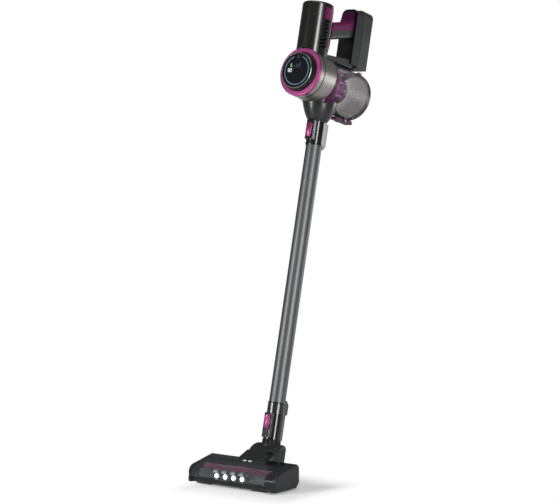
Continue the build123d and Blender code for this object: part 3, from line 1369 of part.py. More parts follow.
def make_trigger():
    """Trigger hung from a pin in the grip."""
    foot = TRIGGER_PIN_Z - TRIGGER_DROP
    top = TRIGGER_PIN_Z
    face = side_face(
        (TRIGGER_PIN_Y - TRIGGER_TOP_R, top),
        (TRIGGER_PIN_Y + TRIGGER_TOP_R, top),
        (TRIGGER_BACK, top - TRIGGER_DROP * 0.4),
        (TRIGGER_BACK - TRIGGER_TOE / 2, foot + TRIGGER_TOE),
        (TRIGGER_BACK - TRIGGER_TOE, foot),
        (TRIGGER_PIN_Y - TRIGGER_TOP_R, foot),
    )
    body = prism_x(face, -TRIGGER_HALF, TRIGGER_HALF)
    body = fillet(body.edges().filter_by(Plane.YZ).group_by(Axis.Z)[0], TRIGGER_ROUND)
    body += rod_x(TRIGGER_TOP_R, -TRIGGER_HALF, TRIGGER_HALF, TRIGGER_PIN_Y, TRIGGER_PIN_Z)
    return body - rod_x(TRIGGER_PIN_R + RUN_FIT, -TRIGGER_HALF, TRIGGER_HALF, TRIGGER_PIN_Y, TRIGGER_PIN_Z)


def rounded_top(part, radius):
    """Round the two long edges on top of a block."""
    return fillet(part.edges().filter_by(Axis.Y).group_by(Axis.Z)[-1], radius)


def make_battery_dock():
    """Hollow dock behind the handle, with the battery plug and the slot of the release tab."""
    dock = block(-DOCK_HALF, DOCK_HALF, DOCK_FRONT, DOCK_REAR, DOCK_FOOT, DOCK_TOP)
    dock = rounded_top(dock, DOCK_ROUND)
    dock = fillet(dock.edges().group_by(Axis.Y)[-1], DOCK_EDGE)
    inner = block(
        -DOCK_HALF + DOCK_WALL, DOCK_HALF - DOCK_WALL,
        DOCK_FRONT + DOCK_WALL, DOCK_REAR - DOCK_WALL,
        DOCK_FOOT + DOCK_WALL, DOCK_TOP - DOCK_WALL,
    )
    dock -= rounded_top(inner, DOCK_ROUND - DOCK_WALL)
    middle = (BATTERY_FOOT + BATTERY_TOP) / 2
    plug_end = DOCK_REAR + PLUG_LEN
    dock += block(-PLUG_HALF, PLUG_HALF, DOCK_REAR, plug_end, middle - PLUG_H / 2, middle + PLUG_H / 2)
    for half, y, z in DOCK_SCREWS:
        dock += rod_x(POST_R, -half, -half + SIDE_SCREW_LEN + 2 * SIDE_SCREW_ROOM, y, z)
    for screw in DOCK_SCREWS:
        dock -= side_screw_hole(*screw)
    slot_half = TAB_STEM_HALF + GAP
    tab_middle = (TAB_FRONT + TAB_BACK) / 2
    slot_front = tab_middle - TAB_STEM_DEPTH - TAB_TRAVEL - GAP
    slot_back = tab_middle + TAB_STEM_DEPTH + GAP
    return dock - block(-slot_half, slot_half, slot_front, slot_back, DOCK_FOOT, DOCK_FOOT + DOCK_WALL)


def make_battery_button():
    """Ribbed release tab under the dock."""
    top = DOCK_FOOT - GAP
    tab = block(-TAB_HALF, TAB_HALF, TAB_FRONT, TAB_BACK, top - TAB_H, top)
    pitch = (TAB_BACK - TAB_FRONT) / (TAB_RIBS + 1)
    for index in range(TAB_RIBS):
        y = TAB_FRONT + (index + 1) * pitch
        for side in (-1, 1):
            low_y = y - TAB_RIB_W / 2
            tab -= flank(side, TAB_HALF - TAB_RIB_D, LONG, low_y, low_y + TAB_RIB_W, 0, BATTERY_TOP)
    middle = (TAB_FRONT + TAB_BACK) / 2
    stem_top = DOCK_FOOT + DOCK_WALL + GAP
    front = middle - TAB_STEM_DEPTH
    back = middle + TAB_STEM_DEPTH
    tab += block(-TAB_STEM_HALF, TAB_STEM_HALF, front, back, top, stem_top)
    head_half = TAB_STEM_HALF + TAB_HEAD
    return tab + block(-head_half, head_half, front, back, stem_top, stem_top + TAB_HEAD)


def make_battery_case():
    """Battery pack shell with a contact slot in front."""
    case = block(-DOCK_HALF, DOCK_HALF, BATTERY_FRONT, BATTERY_REAR, BATTERY_FOOT, BATTERY_TOP)
    case = rounded_top(case, DOCK_ROUND)
    case = fillet(case.edges().group_by(Axis.Y)[-1], BATTERY_EDGE)
    case = fillet(case.edges().group_by(Axis.Y)[0], BATTERY_FRONT_EDGE)
    inner = block(
        -DOCK_HALF + BATTERY_WALL, DOCK_HALF - BATTERY_WALL,
        BATTERY_FRONT + BATTERY_WALL, BATTERY_REAR - BATTERY_WALL,
        BATTERY_FOOT + BATTERY_WALL, BATTERY_TOP - BATTERY_WALL,
    )
    inner = rounded_top(inner, DOCK_ROUND - BATTERY_WALL)
    middle = (BATTERY_FOOT + BATTERY_TOP) / 2
    slot_half = PLUG_HALF + GAP
    slot_high = PLUG_H / 2 + GAP
    slot_end = BATTERY_FRONT + PLUG_SLOT
    slot = block(-slot_half, slot_half, BATTERY_FRONT, slot_end, middle - slot_high, middle + slot_high)
    return case - inner - slot


def make_battery_cells():
    """Eight round cells, two by two in two layers."""
    cells = Part()
    foot = BATTERY_FOOT + BATTERY_WALL
    middle = (BATTERY_FRONT + BATTERY_REAR) / 2
    for x in (-CELL_SPACE / 2, CELL_SPACE / 2):
        for y in (middle - CELL_SPACE / 2, middle + CELL_SPACE / 2):
            for layer in range(2):
                low = foot + layer * (CELL_LEN + GAP)
                cells += rod_z(CELL_R, low, low + CELL_LEN, x, y)
    return cells


# Dust bin

def hinge_ear(side):
    """One ear of the bin that holds the door pin, with its web onto the wall."""
    inner = HINGE_HALF + GAP
    ear = flank_rod(side, HINGE_R, inner, inner + HINGE_EAR, HINGE_Y, HINGE_Z)
    foot = HINGE_Z - HINGE_WEB_FOOT
    web_top = HINGE_Z + HINGE_R - GAP
    return ear + flank(side, inner, inner + HINGE_EAR, BIN_REAR - HINGE_WEB, BIN_REAR, foot, web_top)


def bin_latch_lug(side):
    """One lug under the bin that holds the latch pin."""
    inner = BIN_LATCH_HALF + GAP
    return flank(
        side, inner, inner + BIN_LATCH_LUG,
        BIN_LATCH_PIN_Y - BIN_LUG_HALF, BIN_LATCH_PIN_Y + BIN_LUG_HALF,
        BIN_LATCH_PIN_Z - BIN_LUG_DROP, BIN_Z - BIN_R + BIN_LUG_BITE,
    )


def make_dust_bin():
    """Clear bin: closed front with its air and dirt holes, open back with the door's hinge ears."""
    bin_shell = rod_y(BIN_R, HOUSING_REAR, BIN_REAR, 0, BIN_Z)
    bin_shell += both_sides(hinge_ear) + both_sides(bin_latch_lug)
    bin_shell -= rod_y(BIN_R - BIN_WALL, HOUSING_REAR + BIN_WALL, LONG, 0, BIN_Z)
    bin_shell -= rod_y(AIR_HOLE_R, HOUSING_REAR, HOUSING_REAR + BIN_WALL, 0, BIN_Z)
    bin_shell -= rod_z(INLET_R, UPPER_TOP, BIN_Z - BIN_R / 2)
    bin_shell -= rod_x(HINGE_ROOM_R, -HINGE_HALF - GAP, HINGE_HALF + GAP, HINGE_Y, HINGE_Z)
    bin_shell -= rod_x(HINGE_PIN_R + SEAT_FIT, -LONG, LONG, HINGE_Y, HINGE_Z)
    return bin_shell - rod_x(BIN_LATCH_PIN_R + SEAT_FIT, -LONG, LONG, BIN_LATCH_PIN_Y, BIN_LATCH_PIN_Z)


def make_bin_door():
    """Dished rear door with a hinge barrel along its top."""
    door = rod_y(BIN_R, DOOR_FRONT, DOOR_REAR, 0, BIN_Z)
    door = fillet(door.edges().group_by(Axis.Y)[-1], DOOR_ROUND)
    inner_r = BIN_R - BIN_WALL - DOOR_RIM
    dish = rod_y(inner_r, DOOR_FRONT, DOOR_REAR - DOOR_WALL, 0, BIN_Z)
    dish = fillet(dish.edges().group_by(Axis.Y)[-1], DOOR_ROUND - DOOR_WALL)
    door -= dish
    ear_end = HINGE_HALF + HINGE_EAR + 2 * GAP
    for side in (-1, 1):
        door -= flank_rod(side, HINGE_ROOM_R, HINGE_HALF, ear_end, HINGE_Y, HINGE_Z)
    door += rod_x(HINGE_R, -HINGE_HALF, HINGE_HALF, HINGE_Y, HINGE_Z)
    return door - rod_x(HINGE_PIN_R + RUN_FIT, -HINGE_HALF, HINGE_HALF, HINGE_Y, HINGE_Z)


def make_cyclone_cone():
    """Spool-shaped cyclone body on the front wall of the bin."""
    front = HOUSING_REAR + BIN_WALL
    half = CYCLONE_LEN / 2
    swell = Cone(CYCLONE_R, CYCLONE_WAIST, half, align=MIN_Z)
    flare = Pos(0, 0, half) * Cone(CYCLONE_WAIST, CYCLONE_END_R, half, align=MIN_Z)
    body = Pos(0, front, BIN_Z) * Rot(-90, 0, 0) * (swell + flare)
    return body - rod_y(CYCLONE_WAIST - CYCLONE_WALL, front, front + CYCLONE_LEN, 0, BIN_Z)


def make_mesh_shroud():
    """Round mesh screen behind the cyclone."""
    front = HOUSING_REAR + BIN_WALL + CYCLONE_LEN
    screen = rod_y(SHROUD_R, front, front + SHROUD_LEN, 0, BIN_Z)
    return screen - rod_y(SHROUD_R - SHROUD_WALL, front, front + SHROUD_LEN - SHROUD_WALL, 0, BIN_Z)


def make_bin_latch():
    """Lever under the bin, with a step under the door's edge."""
    top = BIN_LATCH_FOOT + BIN_LATCH_T
    lever = block(-BIN_LATCH_HALF, BIN_LATCH_HALF, BIN_LATCH_FRONT, BIN_LATCH_BACK, BIN_LATCH_FOOT, top)
    lever = fillet(lever.edges().filter_by(Axis.Z), BIN_LATCH_ROUND)
    step_top = BIN_Z - BIN_R - GAP
    step_front = BIN_REAR + BIN_STEP
    step_back = BIN_LATCH_BACK - BIN_STEP_END
    lever += block(-BIN_LATCH_HALF, BIN_LATCH_HALF, step_front, step_back, BIN_LATCH_FOOT, step_top)
    return lever - rod_x(BIN_LATCH_PIN_R + RUN_FIT, -LONG, LONG, BIN_LATCH_PIN_Y, BIN_LATCH_PIN_Z)


def make_latch_pins():
    """Pins of both wand latches, the trigger, the bin door and the bin latch."""
    cheek = LATCH_HALF + LATCH_SIDE_GAP + CHEEK
    pins = rod_x(LATCH_PIN_R, -cheek, cheek, LATCH_PIN_Y, LATCH_LOW_Z)
    pins += rod_x(LATCH_PIN_R, -cheek, cheek, LATCH_PIN_Y, LATCH_HIGH_Z)
    reach = TRIGGER_HALF + TRIGGER_GAP + TRIGGER_PIN_BITE
    pins += rod_x(TRIGGER_PIN_R, -reach, reach, TRIGGER_PIN_Y, TRIGGER_PIN_Z)
    ear = HINGE_HALF + GAP + HINGE_EAR
    pins += rod_x(HINGE_PIN_R, -ear, ear, HINGE_Y, HINGE_Z)
    lug = BIN_LATCH_HALF + GAP + BIN_LATCH_LUG
    return pins + rod_x(BIN_LATCH_PIN_R, -lug, lug, BIN_LATCH_PIN_Y, BIN_LATCH_PIN_Z)


FLOOR_NODES = {
    "head_base": make_head_base(),
    "head_top_cover": make_head_top_cover(),
    "head_window": make_head_window(),
    "drive_end_cap": end_cap(DRIVE_X, HEAD_HALF),
    "idle_end_cap": end_cap(IDLE_X, -HEAD_HALF),
    "front_bumper": bumper_bar(),
    "glide_pads": make_glide_pads(),
    "led_board": make_led_board(),
    "led_lenses": make_led_lenses(),
    "head_motor": make_head_motor(),
    "drive_belt": make_drive_belt(),
    "brush_bushes": make_brush_bushes(),
    "head_pins": make_head_pins(),
    "base_screws": make_base_screws(),
    "brush_core": make_brush_core(),
    "brush_bristles": make_brush_bristles(),
    "brush_shaft": make_brush_shaft(),
    "brush_pulley": make_brush_pulley(),
    "motor_pulley": make_motor_pulley(),
    "wheel_left": make_wheel(1),
    "wheel_right": make_wheel(-1),
    "neck_hose": make_neck_hose(),
}

WAND_NODES = {
    "neck_yoke": make_neck_yoke(),
    "neck_collar": make_neck_collar(),
    "neck_socket": make_neck_socket(),
    "wand_lower_collar": make_wand_lower_collar(),
    "wand_tube": make_wand_tube(),
    "wand_harness": make_wand_harness(),
    "wand_upper_socket": make_wand_upper_socket(),
    "intake_duct": make_intake_duct(),
    "main_housing": make_main_housing(),
    "front_ring": make_front_ring(),
    "display_bezel": make_display_bezel(),
    "display_lens": make_display_lens(),
    "light_ring": light_band(0),
    "display_board": make_display_board(),
    "tower_shell": make_tower_shell(),
    "tower_cap": make_tower_cap(),
    "tower_spine": make_tower_spine(),
    "suction_motor": make_suction_motor(),
    "impeller": make_impeller(),
    "exhaust_filter": make_exhaust_filter(),
    "lower_arm": make_lower_arm(),
    "handle_cover": make_handle_cover(),
    "handle_grip": make_handle_grip(),
    "trigger": make_trigger(),
    "battery_dock": make_battery_dock(),
    "battery_button": make_battery_button(),
    "battery_case": make_battery_case(),
    "battery_cells": make_battery_cells(),
    "dust_bin": make_dust_bin(),
    "bin_door": make_bin_door(),
    "bin_latch": make_bin_latch(),
    "cyclone_cone": make_cyclone_cone(),
    "mesh_shroud": make_mesh_shroud(),
    "wand_latch": make_latch(LATCH_HIGH_Z),
    "head_latch": make_latch(LATCH_LOW_Z),
    "housing_screws": make_housing_screws(),
    "latch_pins": make_latch_pins(),
}

LEANED = Pos(0, 0, PIVOT_H) * Rot(-LEAN, 0, 0)
standing = dict(FLOOR_NODES)
for name, solid in WAND_NODES.items():
    standing[name] = LEANED * solid

boxes = [solid.bounding_box() for solid in standing.values()]
FRONT_Y = min(box.min.Y for box in boxes)
BACK_Y = max(box.max.Y for box in boxes)
SHIFT_Y = -(FRONT_Y + BACK_Y) / 2

os.makedirs("parts", exist_ok=True)
for name, solid in standing.items():
    export_step(Pos(0, SHIFT_Y, 0) * solid, f"parts/{name}.step")
print("nodes", len(standing), "moved back by", round(SHIFT_Y, 3))
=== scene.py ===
# %% [markdown]
# # A cordless stick vacuum, dressed over its imported frame
# The imported model already holds every moving part in its place, as plain solids. This lesson gives those
# solids their finishes and adds the small forms that a solid model leaves out: a ribbed hose, tufts on the
# brush, a lit display, crowned latches and the cyclones in the bin. Nothing of the frame is moved, so each
# new piece is worked out straight in the frame's own metres.

# %% Load the frame, and a helper for the box of one part
import json
import math
import bmesh
import bpy
import numpy as np
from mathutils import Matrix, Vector


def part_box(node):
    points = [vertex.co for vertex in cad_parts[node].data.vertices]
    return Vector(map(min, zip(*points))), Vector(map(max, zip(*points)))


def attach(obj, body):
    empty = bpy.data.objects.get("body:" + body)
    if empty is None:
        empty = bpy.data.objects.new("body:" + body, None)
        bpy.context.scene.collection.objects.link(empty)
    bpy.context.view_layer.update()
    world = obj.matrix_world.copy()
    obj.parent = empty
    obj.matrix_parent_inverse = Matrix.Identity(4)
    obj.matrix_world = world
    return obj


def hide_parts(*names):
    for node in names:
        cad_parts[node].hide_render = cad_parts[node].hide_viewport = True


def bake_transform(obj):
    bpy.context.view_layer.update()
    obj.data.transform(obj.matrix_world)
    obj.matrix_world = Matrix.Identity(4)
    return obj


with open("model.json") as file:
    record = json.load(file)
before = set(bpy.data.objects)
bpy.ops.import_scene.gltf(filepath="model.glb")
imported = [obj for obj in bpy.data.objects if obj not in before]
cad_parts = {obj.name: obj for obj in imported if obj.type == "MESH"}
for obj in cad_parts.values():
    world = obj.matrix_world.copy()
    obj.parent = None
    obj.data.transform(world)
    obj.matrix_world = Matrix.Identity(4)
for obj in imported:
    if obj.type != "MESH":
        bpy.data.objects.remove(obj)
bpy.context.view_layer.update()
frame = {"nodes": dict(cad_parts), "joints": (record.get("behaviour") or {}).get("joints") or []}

nodes = frame["nodes"]

# %% [markdown]
# ## Two sets of axes
# Everything above the neck is leaned back, so a point on it is easiest to give in the wand's own axes:
# across, towards the back of the handle, and up the wand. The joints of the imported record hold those
# directions, so they are read from there. The solids are measured in the same axes, in millimetres, so that
# a new piece can be set against the part that carries it.

# %% Wand axes and floor axes
MM = 1000.0
joints = {joint["name"]: joint for joint in frame["joints"]}
PIVOT = np.array(joints["neck_pitch"]["pos_m"])
UP = np.array(joints["neck_swivel"]["axis"])
BACK = np.array(joints["battery_slide"]["axis"])
ACROSS = np.array([1.0, 0.0, 0.0])
LEAN = math.atan2(UP[1], UP[2])


def on_wand(across, back, up):
    """Pivot plus across, back and up steps along the wand's axes, millimetres to metres."""
    across, back, up = np.broadcast_arrays(across, back, up)
    return PIVOT + (across[..., None] * ACROSS + back[..., None] * BACK + up[..., None] * UP) / MM


def on_head(across, along, height):
    """Floor axes with the pitch axis above their origin, millimetres to metres."""
    across, along, height = np.broadcast_arrays(across, along, height)
    return np.stack([across, along + MM * PIVOT[1], height], -1) / MM


def in_wand(points):
    """The way back from on_wand, rounded to a tenth of a millimetre."""
    return (MM * (np.asarray(points) - PIVOT) @ np.stack([ACROSS, BACK, UP], -1)).round(1)


def in_head(point):
    """The way back from on_head, rounded to a tenth of a millimetre."""
    return (MM * (np.asarray(point) - PIVOT * [0, 1, 0])).round(1)


def wand_box(name):
    """Lowest and highest across, back and up of a CAD node's points."""
    mesh = nodes[name].data
    points = np.empty(3 * len(mesh.vertices))
    mesh.vertices.foreach_get("co", points)
    steps = in_wand(points.reshape(-1, 3))
    return steps.min(0), steps.max(0)


print("lean", round(math.degrees(LEAN), 2), "degrees, pivot", PIVOT.round(4))

# %% [markdown]
# ## From a grid of points to a mesh
# A shape here is a function of two parameters, worked out for the whole grid at once as a numpy array.
# The faces are the cells of that grid, and their corner numbers are an array too. Poles and seams are rows
# of points that fall together, so the mesh is welded, and its normals are then turned outwards.

# %% Grid to piece
def grid_cells(rows, cols, rows_meet, cols_meet):
    """Corner numbers of every cell; a grid that meets itself joins its last row or column to the first."""
    row, col = np.meshgrid(np.arange(rows if rows_meet else rows - 1),
                           np.arange(cols if cols_meet else cols - 1), indexing="ij")
    below, right = (row + 1) % rows, (col + 1) % cols
    return np.stack([row * cols + col, below * cols + col, below * cols + right, row * cols + right], -1)


def weld(mesh):
    """Join points that fall together and turn every face outwards."""
    work = bmesh.new()
    work.from_mesh(mesh)
    bmesh.ops.remove_doubles(work, verts=work.verts, dist=2e-6)
    bmesh.ops.dissolve_degenerate(work, edges=work.edges, dist=1e-6)
    bmesh.ops.recalc_face_normals(work, faces=work.faces)
    work.to_mesh(mesh)
    work.free()


def add_object(name, data):
    """A new object in the scene, at the origin."""
    made = bpy.data.objects.new(name, data)
    bpy.context.scene.collection.objects.link(made)
    return made


def make_piece(name, grid, finish, body=None, rows_meet=False, cols_meet=True, crease=35):
    """One mesh from one grid (rows, cols, 3) or from many of the same size (count, rows, cols, 3)."""
    sheets = np.asarray(grid, float).reshape((-1,) + np.shape(grid)[-3:])
    rows, cols = sheets.shape[1:3]
    cells = grid_cells(rows, cols, rows_meet, cols_meet).reshape(-1, 4)
    faces = (np.arange(len(sheets))[:, None, None] * rows * cols + cells).reshape(-1, 4)
    mesh = bpy.data.meshes.new(name)
    mesh.from_pydata(sheets.reshape(-1, 3).tolist(), [], faces.tolist())
    weld(mesh)
    mesh.shade_smooth()
    mesh.set_sharp_from_angle(angle=math.radians(crease))
    mesh.materials.append(finish.material)
    made = add_object(name, mesh)
    if body:
        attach(made, body)
    print(name, len(mesh.polygons), "faces")
    return made


# %% [markdown]
# ## Shader sums in plain Python
# A node tree is easier to read as an expression. `Wire` wraps one output socket and overloads the
# operators, so `1 - mask * 0.3` adds its own Math nodes. `Nodes` is one tree, and its `node` method makes
# any other node. `Finish` is the tree of one material, with short names for the nodes that most finishes
# use.

# %% Wires
def both_ways(operation):
    """The two methods of one operator: with the wire on its left, and with the wire on its right."""
    return (lambda self, other: self.reckon(operation, self, other),
            lambda self, other: self.reckon(operation, other, self))


class Wire:
    """One output socket that takes part in sums."""

    __add__, __radd__ = both_ways("ADD")
    __sub__, __rsub__ = both_ways("SUBTRACT")
    __mul__, __rmul__ = both_ways("MULTIPLY")
    __truediv__, __rtruediv__ = both_ways("DIVIDE")
    __pow__, __rpow__ = both_ways("POWER")

    def __init__(self, owner, socket):
        self.owner = owner
        self.socket = socket

    def out(self, name):
        """Another output of the same node."""
        return Wire(self.owner, self.socket.node.outputs[name])

    def reckon(self, operation, first, second=0.0):
        """One Math node."""
        return self.owner.node("ShaderNodeMath", {"operation": operation}, {0: first, 1: second})

    def most(self, other):
        """The larger of two values."""
        return self.reckon("MAXIMUM", self, other)

    def size(self):
        """The value without its sign."""
        return self.reckon("ABSOLUTE", self)

    def wave(self, length, start=0.0):
        """A cosine along the value: 1 at start and at every length from it, -1 half-way between."""
        return self.reckon("COSINE", (self - start) * (2 * math.pi / length))


# %% Trees and finishes
class Nodes:
    """One node tree and the maker of its nodes and links."""

    def __init__(self, tree):
        self.tree = tree

    def link(self, socket, value):
        """Join a wire to a socket, or set a plain value on it."""
        if isinstance(value, Wire):
            self.tree.links.new(value.socket, socket)
        else:
            socket.default_value = value

    def node(self, kind, settings=None, sockets=None, out=0):
        """Any node: its type, its settings first, then the values or wires of its sockets."""
        made = self.tree.nodes.new(kind)
        for key, value in (settings or {}).items():
            if key == "stops":
                for _ in range(len(value) - 2):
                    made.color_ramp.elements.new(0.5)
                for element, (place, colour) in zip(made.color_ramp.elements, value):
                    element.position = place
                    element.color = colour
            else:
                setattr(made, key, value)
        for key, value in (sockets or {}).items():
            self.link(made.inputs[key], value)
        return Wire(self, made.outputs[out])


class Finish(Nodes):
    """One procedural finish: a material, its main shader and the nodes that feed it."""

    def __init__(self, name, constants=None):
        self.material = bpy.data.materials.new(name)
        self.material.use_nodes = True
        super().__init__(self.material.node_tree)
        self.shader = self.tree.nodes["Principled BSDF"]
        self.places = {}
        for socket, value in (constants or {}).items():
            self.shader.inputs[socket].default_value = value

    def feed(self, socket, value):
        """Feed one input of the main shader."""
        self.link(self.shader.inputs[socket], value)

    def place(self, on="frame"):
        """Object coordinates, either in the frame's axes or turned upright into the wand's axes."""
        if on not in self.places:
            here = self.node("ShaderNodeTexCoord", None, None, "Object")
            if on == "wand":
                home = [-float(PIVOT @ axis) for axis in (ACROSS, BACK, UP)]
                here = self.node("ShaderNodeMapping", None,
                                 {"Vector": here, "Location": home, "Rotation": (LEAN, 0, 0)})
            self.places[on] = here
        return self.places[on]

    def along(self, axis, on="frame"):
        """One of the object coordinates, in metres."""
        return self.node("ShaderNodeSeparateXYZ", None, {"Vector": self.place(on)}, axis)

    def stretch(self, scale, on="frame"):
        """Object coordinates scaled differently along each axis."""
        return self.node("ShaderNodeMapping", None, {"Vector": self.place(on), "Scale": scale})

    def noise(self, scale, detail=2.0, rough=0.5, at=None):
        """Soft noise from 0 to 1, about 1/scale metres from bump to bump."""
        return self.node("ShaderNodeTexNoise", None, {"Vector": at or self.place(), "Scale": scale,
                                                      "Detail": detail, "Roughness": rough})

    def mix(self, share, first, second):
        """Mix two colours by a share from 0 to 1."""
        return self.node("ShaderNodeMix", {"data_type": "RGBA"}, {0: share, 6: first, 7: second}, 2)

    def paint(self, share, first, second):
        """Feed the base colour with two colours mixed by a share."""
        self.feed("Base Color", self.mix(share, first, second))

    def step(self, value, low, high):
        """0 below low, 1 above high, smooth between."""
        return self.node("ShaderNodeMapRange", {"interpolation_type": "SMOOTHSTEP"},
                         {"Value": value, "From Min": low, "From Max": high})

    def relief(self, height, depth, strength=1.0):
        """Raise the surface by height times depth metres."""
        self.feed("Normal", self.node("ShaderNodeBump", None,
                                      {"Height": height, "Distance": depth, "Strength": strength}))


# %% Colours, and finishes for the solids
def ink(red, green, blue):
    """A colour written as 0 to 255, turned into the linear light that shaders count in."""
    share = np.array([red, green, blue]) / 255
    linear = np.where(share <= 0.04045, share / 12.92, ((share + 0.055) / 1.055) ** 2.4)
    return (*linear.tolist(), 1.0)


def tint(colour, share, lift=0.0):
    """A darker or lighter shade: each part of the colour times share, plus lift."""
    return (*(share * part + lift for part in colour[:3]), 1.0)


def wear(node_names, finish):
    """Give CAD nodes a finish: only the slot changes, and the meshes stay."""
    for name in node_names.split():
        nodes[name].data.materials.clear()
        nodes[name].data.materials.append(finish.material)
    print(finish.material.name, "on", node_names)


# %% [markdown]
# ## Moulded plastic
# Most of the body is injection-moulded. A real moulding isn't one flat colour: the tool leaves a fine grain,
# and the gloss drifts slowly across a large face. One function makes that plastic, and each part asks for
# its own colour, gloss and depth of grain.

# %% Moulded plastics
def grained(name, grain, scale, constants):
    """A finish with the tool's grain as its relief, given with its fine and its slow noise."""
    made = Finish(name, {"Specular IOR Level": 0.25, **(constants or {})})
    fine, slow = made.noise(scale, 3, 0.6), made.noise(22, 3)
    made.relief(fine, grain)
    return made, fine, slow


def drift(gloss, fine, slow):
    """Roughness that wanders a little with both noises."""
    return gloss - 0.06 + 0.08 * slow + 0.08 * fine


def moulding(name, colour, gloss, grain=2.5e-5, scale=1500, constants=None):
    """Grain = fine noise in bump and gloss; tone = slow noise between a darker and a lighter shade."""
    made, fine, slow = grained(name, grain, scale, constants)
    tone = made.step(slow * 0.8 + fine * 0.2, 0.3, 0.7)
    made.paint(tone, tint(colour, 0.72), tint(colour, 1.22, 0.002))
    made.feed("Roughness", drift(gloss, fine, slow))
    return made


plum = moulding("plum_clear", ink(122, 14, 108), gloss=0.22, grain=8e-6, scale=900,
                constants={"Coat Weight": 0.5, "Coat Roughness": 0.1})
fan_black = moulding("fan_black", ink(30, 30, 32), gloss=0.5)
wear("cyclone_cone brush_core", plum)
wear("impeller", fan_black)
wear("neck_yoke lower_arm brush_pulley", moulding("charcoal_moulding", ink(29, 30, 31), gloss=0.42))
wear("head_base", moulding("head_satin", ink(34, 35, 36), gloss=0.38, grain=2e-5, scale=1700))
wear("handle_grip battery_case",
     moulding("grip_satin", ink(40, 42, 41), gloss=0.40, grain=3e-5, scale=1200))
wear("tower_spine trigger", moulding("deep_magenta", ink(100, 24, 78), gloss=0.30, grain=1.2e-5,
                                     scale=1900, constants={"Coat Weight": 0.25}))
wear("bin_latch", moulding("latch_plum", ink(62, 10, 55), gloss=0.46, grain=8e-6, scale=900))
wear("display_bezel", moulding("puck_black", ink(13, 13, 14), gloss=0.34, grain=1e-5, scale=1900))

# %% [markdown]
# ## Mouldings in two shades
# Three mouldings change along their length. The handle's cover is painted darker at its top, which is painted
# shade, and the battery dock's front is painted black, which is painted shade too. The head's end caps are
# glossy round the nose and satin behind it. Each is one solid, so a step along one axis turns one shade into
# the other, with a little noise to keep the line soft.

# %% Two-shade mouldings
# Heights up the wand over which the cover turns into its painted shade.
COVER_PAINTED_SHADE_TURN = (1.048, 1.062)
dock_low, dock_high = wand_box("battery_dock")
DOCK_FRONT = dock_low[1] / MM
# Depths behind the dock's front over which its painted black shade gives way to the satin grey.
DOCK_PAINTED_SHADE_TURN = (DOCK_FRONT + 0.0002, DOCK_FRONT + 0.0034)
CAP_TURN = (PIVOT[1] - 0.129, PIVOT[1] - 0.120)


def two_shades(name, axis, on, turn, shades, gloss, grain, scale, front_gloss=None, constants=None):
    """One shade below turn, the other above it; where front_gloss is given, the gloss turns as well."""
    made, fine, slow = grained(name, grain, scale, constants)
    share = made.step(made.along(axis, on), *turn)
    made.paint(share + 0.2 * made.noise(40, 2) - 0.1, *shades)
    level = gloss if front_gloss is None else front_gloss + (gloss - front_gloss) * share
    made.feed("Roughness", drift(level, fine, slow))
    return made


# Painted shade: the cover is painted a darker magenta towards its top, standing in for the shade on its upper
# block.
wear("handle_cover", two_shades("cover_magenta_painted_shade", "Z", "wand", COVER_PAINTED_SHADE_TURN,
                                (ink(84, 17, 65), ink(48, 4, 40)), gloss=0.30, grain=1.2e-5, scale=1900))
# Painted shade: the dock's front face is painted near black, standing in for the deep shade that face lies
# in.
wear("battery_dock", two_shades("dock_satin_painted_shade", "Y", "wand", DOCK_PAINTED_SHADE_TURN, (ink(6, 6, 7), ink(42, 45, 44)),
                                gloss=0.40, grain=3e-5, scale=1200, constants={"Specular IOR Level": 0.12}))
wear("idle_end_cap drive_end_cap",
     two_shades("end_cap_satin", "Y", "frame", CAP_TURN, (ink(30, 35, 37), ink(32, 33, 34)),
                gloss=0.36, grain=2e-5, scale=1700, front_gloss=0.08))

# %% [markdown]
# ## Lacquer
# The sockets and the head's cover are glossy black, the intake funnel is a softer black, the tower and the
# wand's lower collar are dark metal, and the ring is pearl magenta. All are lacquers: a base with tiny
# flakes under a clear coat. The flakes come from a Voronoi texture whose cells each take their own random
# brightness, and the coat has a faint orange-peel wave so that its highlights aren't ruler-straight.

# %% Lacquers
def lacquer(name, colour, flake, metal, gloss, sparkle, peel=6e-6, coat=0.3):
    """Cells of 0.3 mm pick between base and flake colour; a slow wave ripples the coat."""
    made = Finish(name, {"Coat Weight": coat, "Coat Roughness": 0.06})
    cells = made.node("ShaderNodeTexVoronoi", None, {"Vector": made.place(), "Scale": 3200}, "Color")
    pick = made.node("ShaderNodeSeparateColor", None, {"Color": cells})
    slow = made.noise(18, 2)
    made.paint(pick * sparkle + slow * 0.15, colour, flake)
    made.feed("Roughness", gloss + 0.06 * pick + 0.05 * slow)
    made.feed("Metallic", metal - 0.1 + 0.2 * pick)
    made.relief(made.noise(260, 1), peel)
    return made


piano = lacquer("piano_black", ink(11, 13, 13), ink(38, 40, 41), metal=0.12, gloss=0.11, sparkle=0.10)
pearl = lacquer("pearl_magenta", ink(128, 38, 94), ink(188, 94, 152),
                metal=0.68, gloss=0.32, sparkle=0.30, peel=5e-6)
wear("neck_socket wand_upper_socket head_top_cover wand_latch head_latch", piano)
wear("front_ring", pearl)
wear("intake_duct", lacquer("funnel_black", ink(13, 15, 15), ink(46, 48, 49),
                            metal=0.2, gloss=0.26, sparkle=0.10, coat=0.12))
wear("tower_shell tower_cap head_pins",
     lacquer("gunmetal", ink(60, 60, 59), ink(106, 105, 103),
             metal=1.0, gloss=0.18, sparkle=0.30, peel=4e-6, coat=0.1))
wear("wand_lower_collar", lacquer("graphite_satin", ink(66, 67, 67), ink(118, 118, 118),
                                  metal=0.95, gloss=0.20, sparkle=0.20, peel=4e-6, coat=0.2))

# %% [markdown]
# ## Brushed and drawn metal
# The drum looks like brushed titanium, with lines that run round it, and the wand is anodised aluminium with
# lines along it. Both are the same noise, squeezed hard across the lines. The squeeze has to follow the
# leaned wand, so these finishes read the wand's axes and not the floor's.

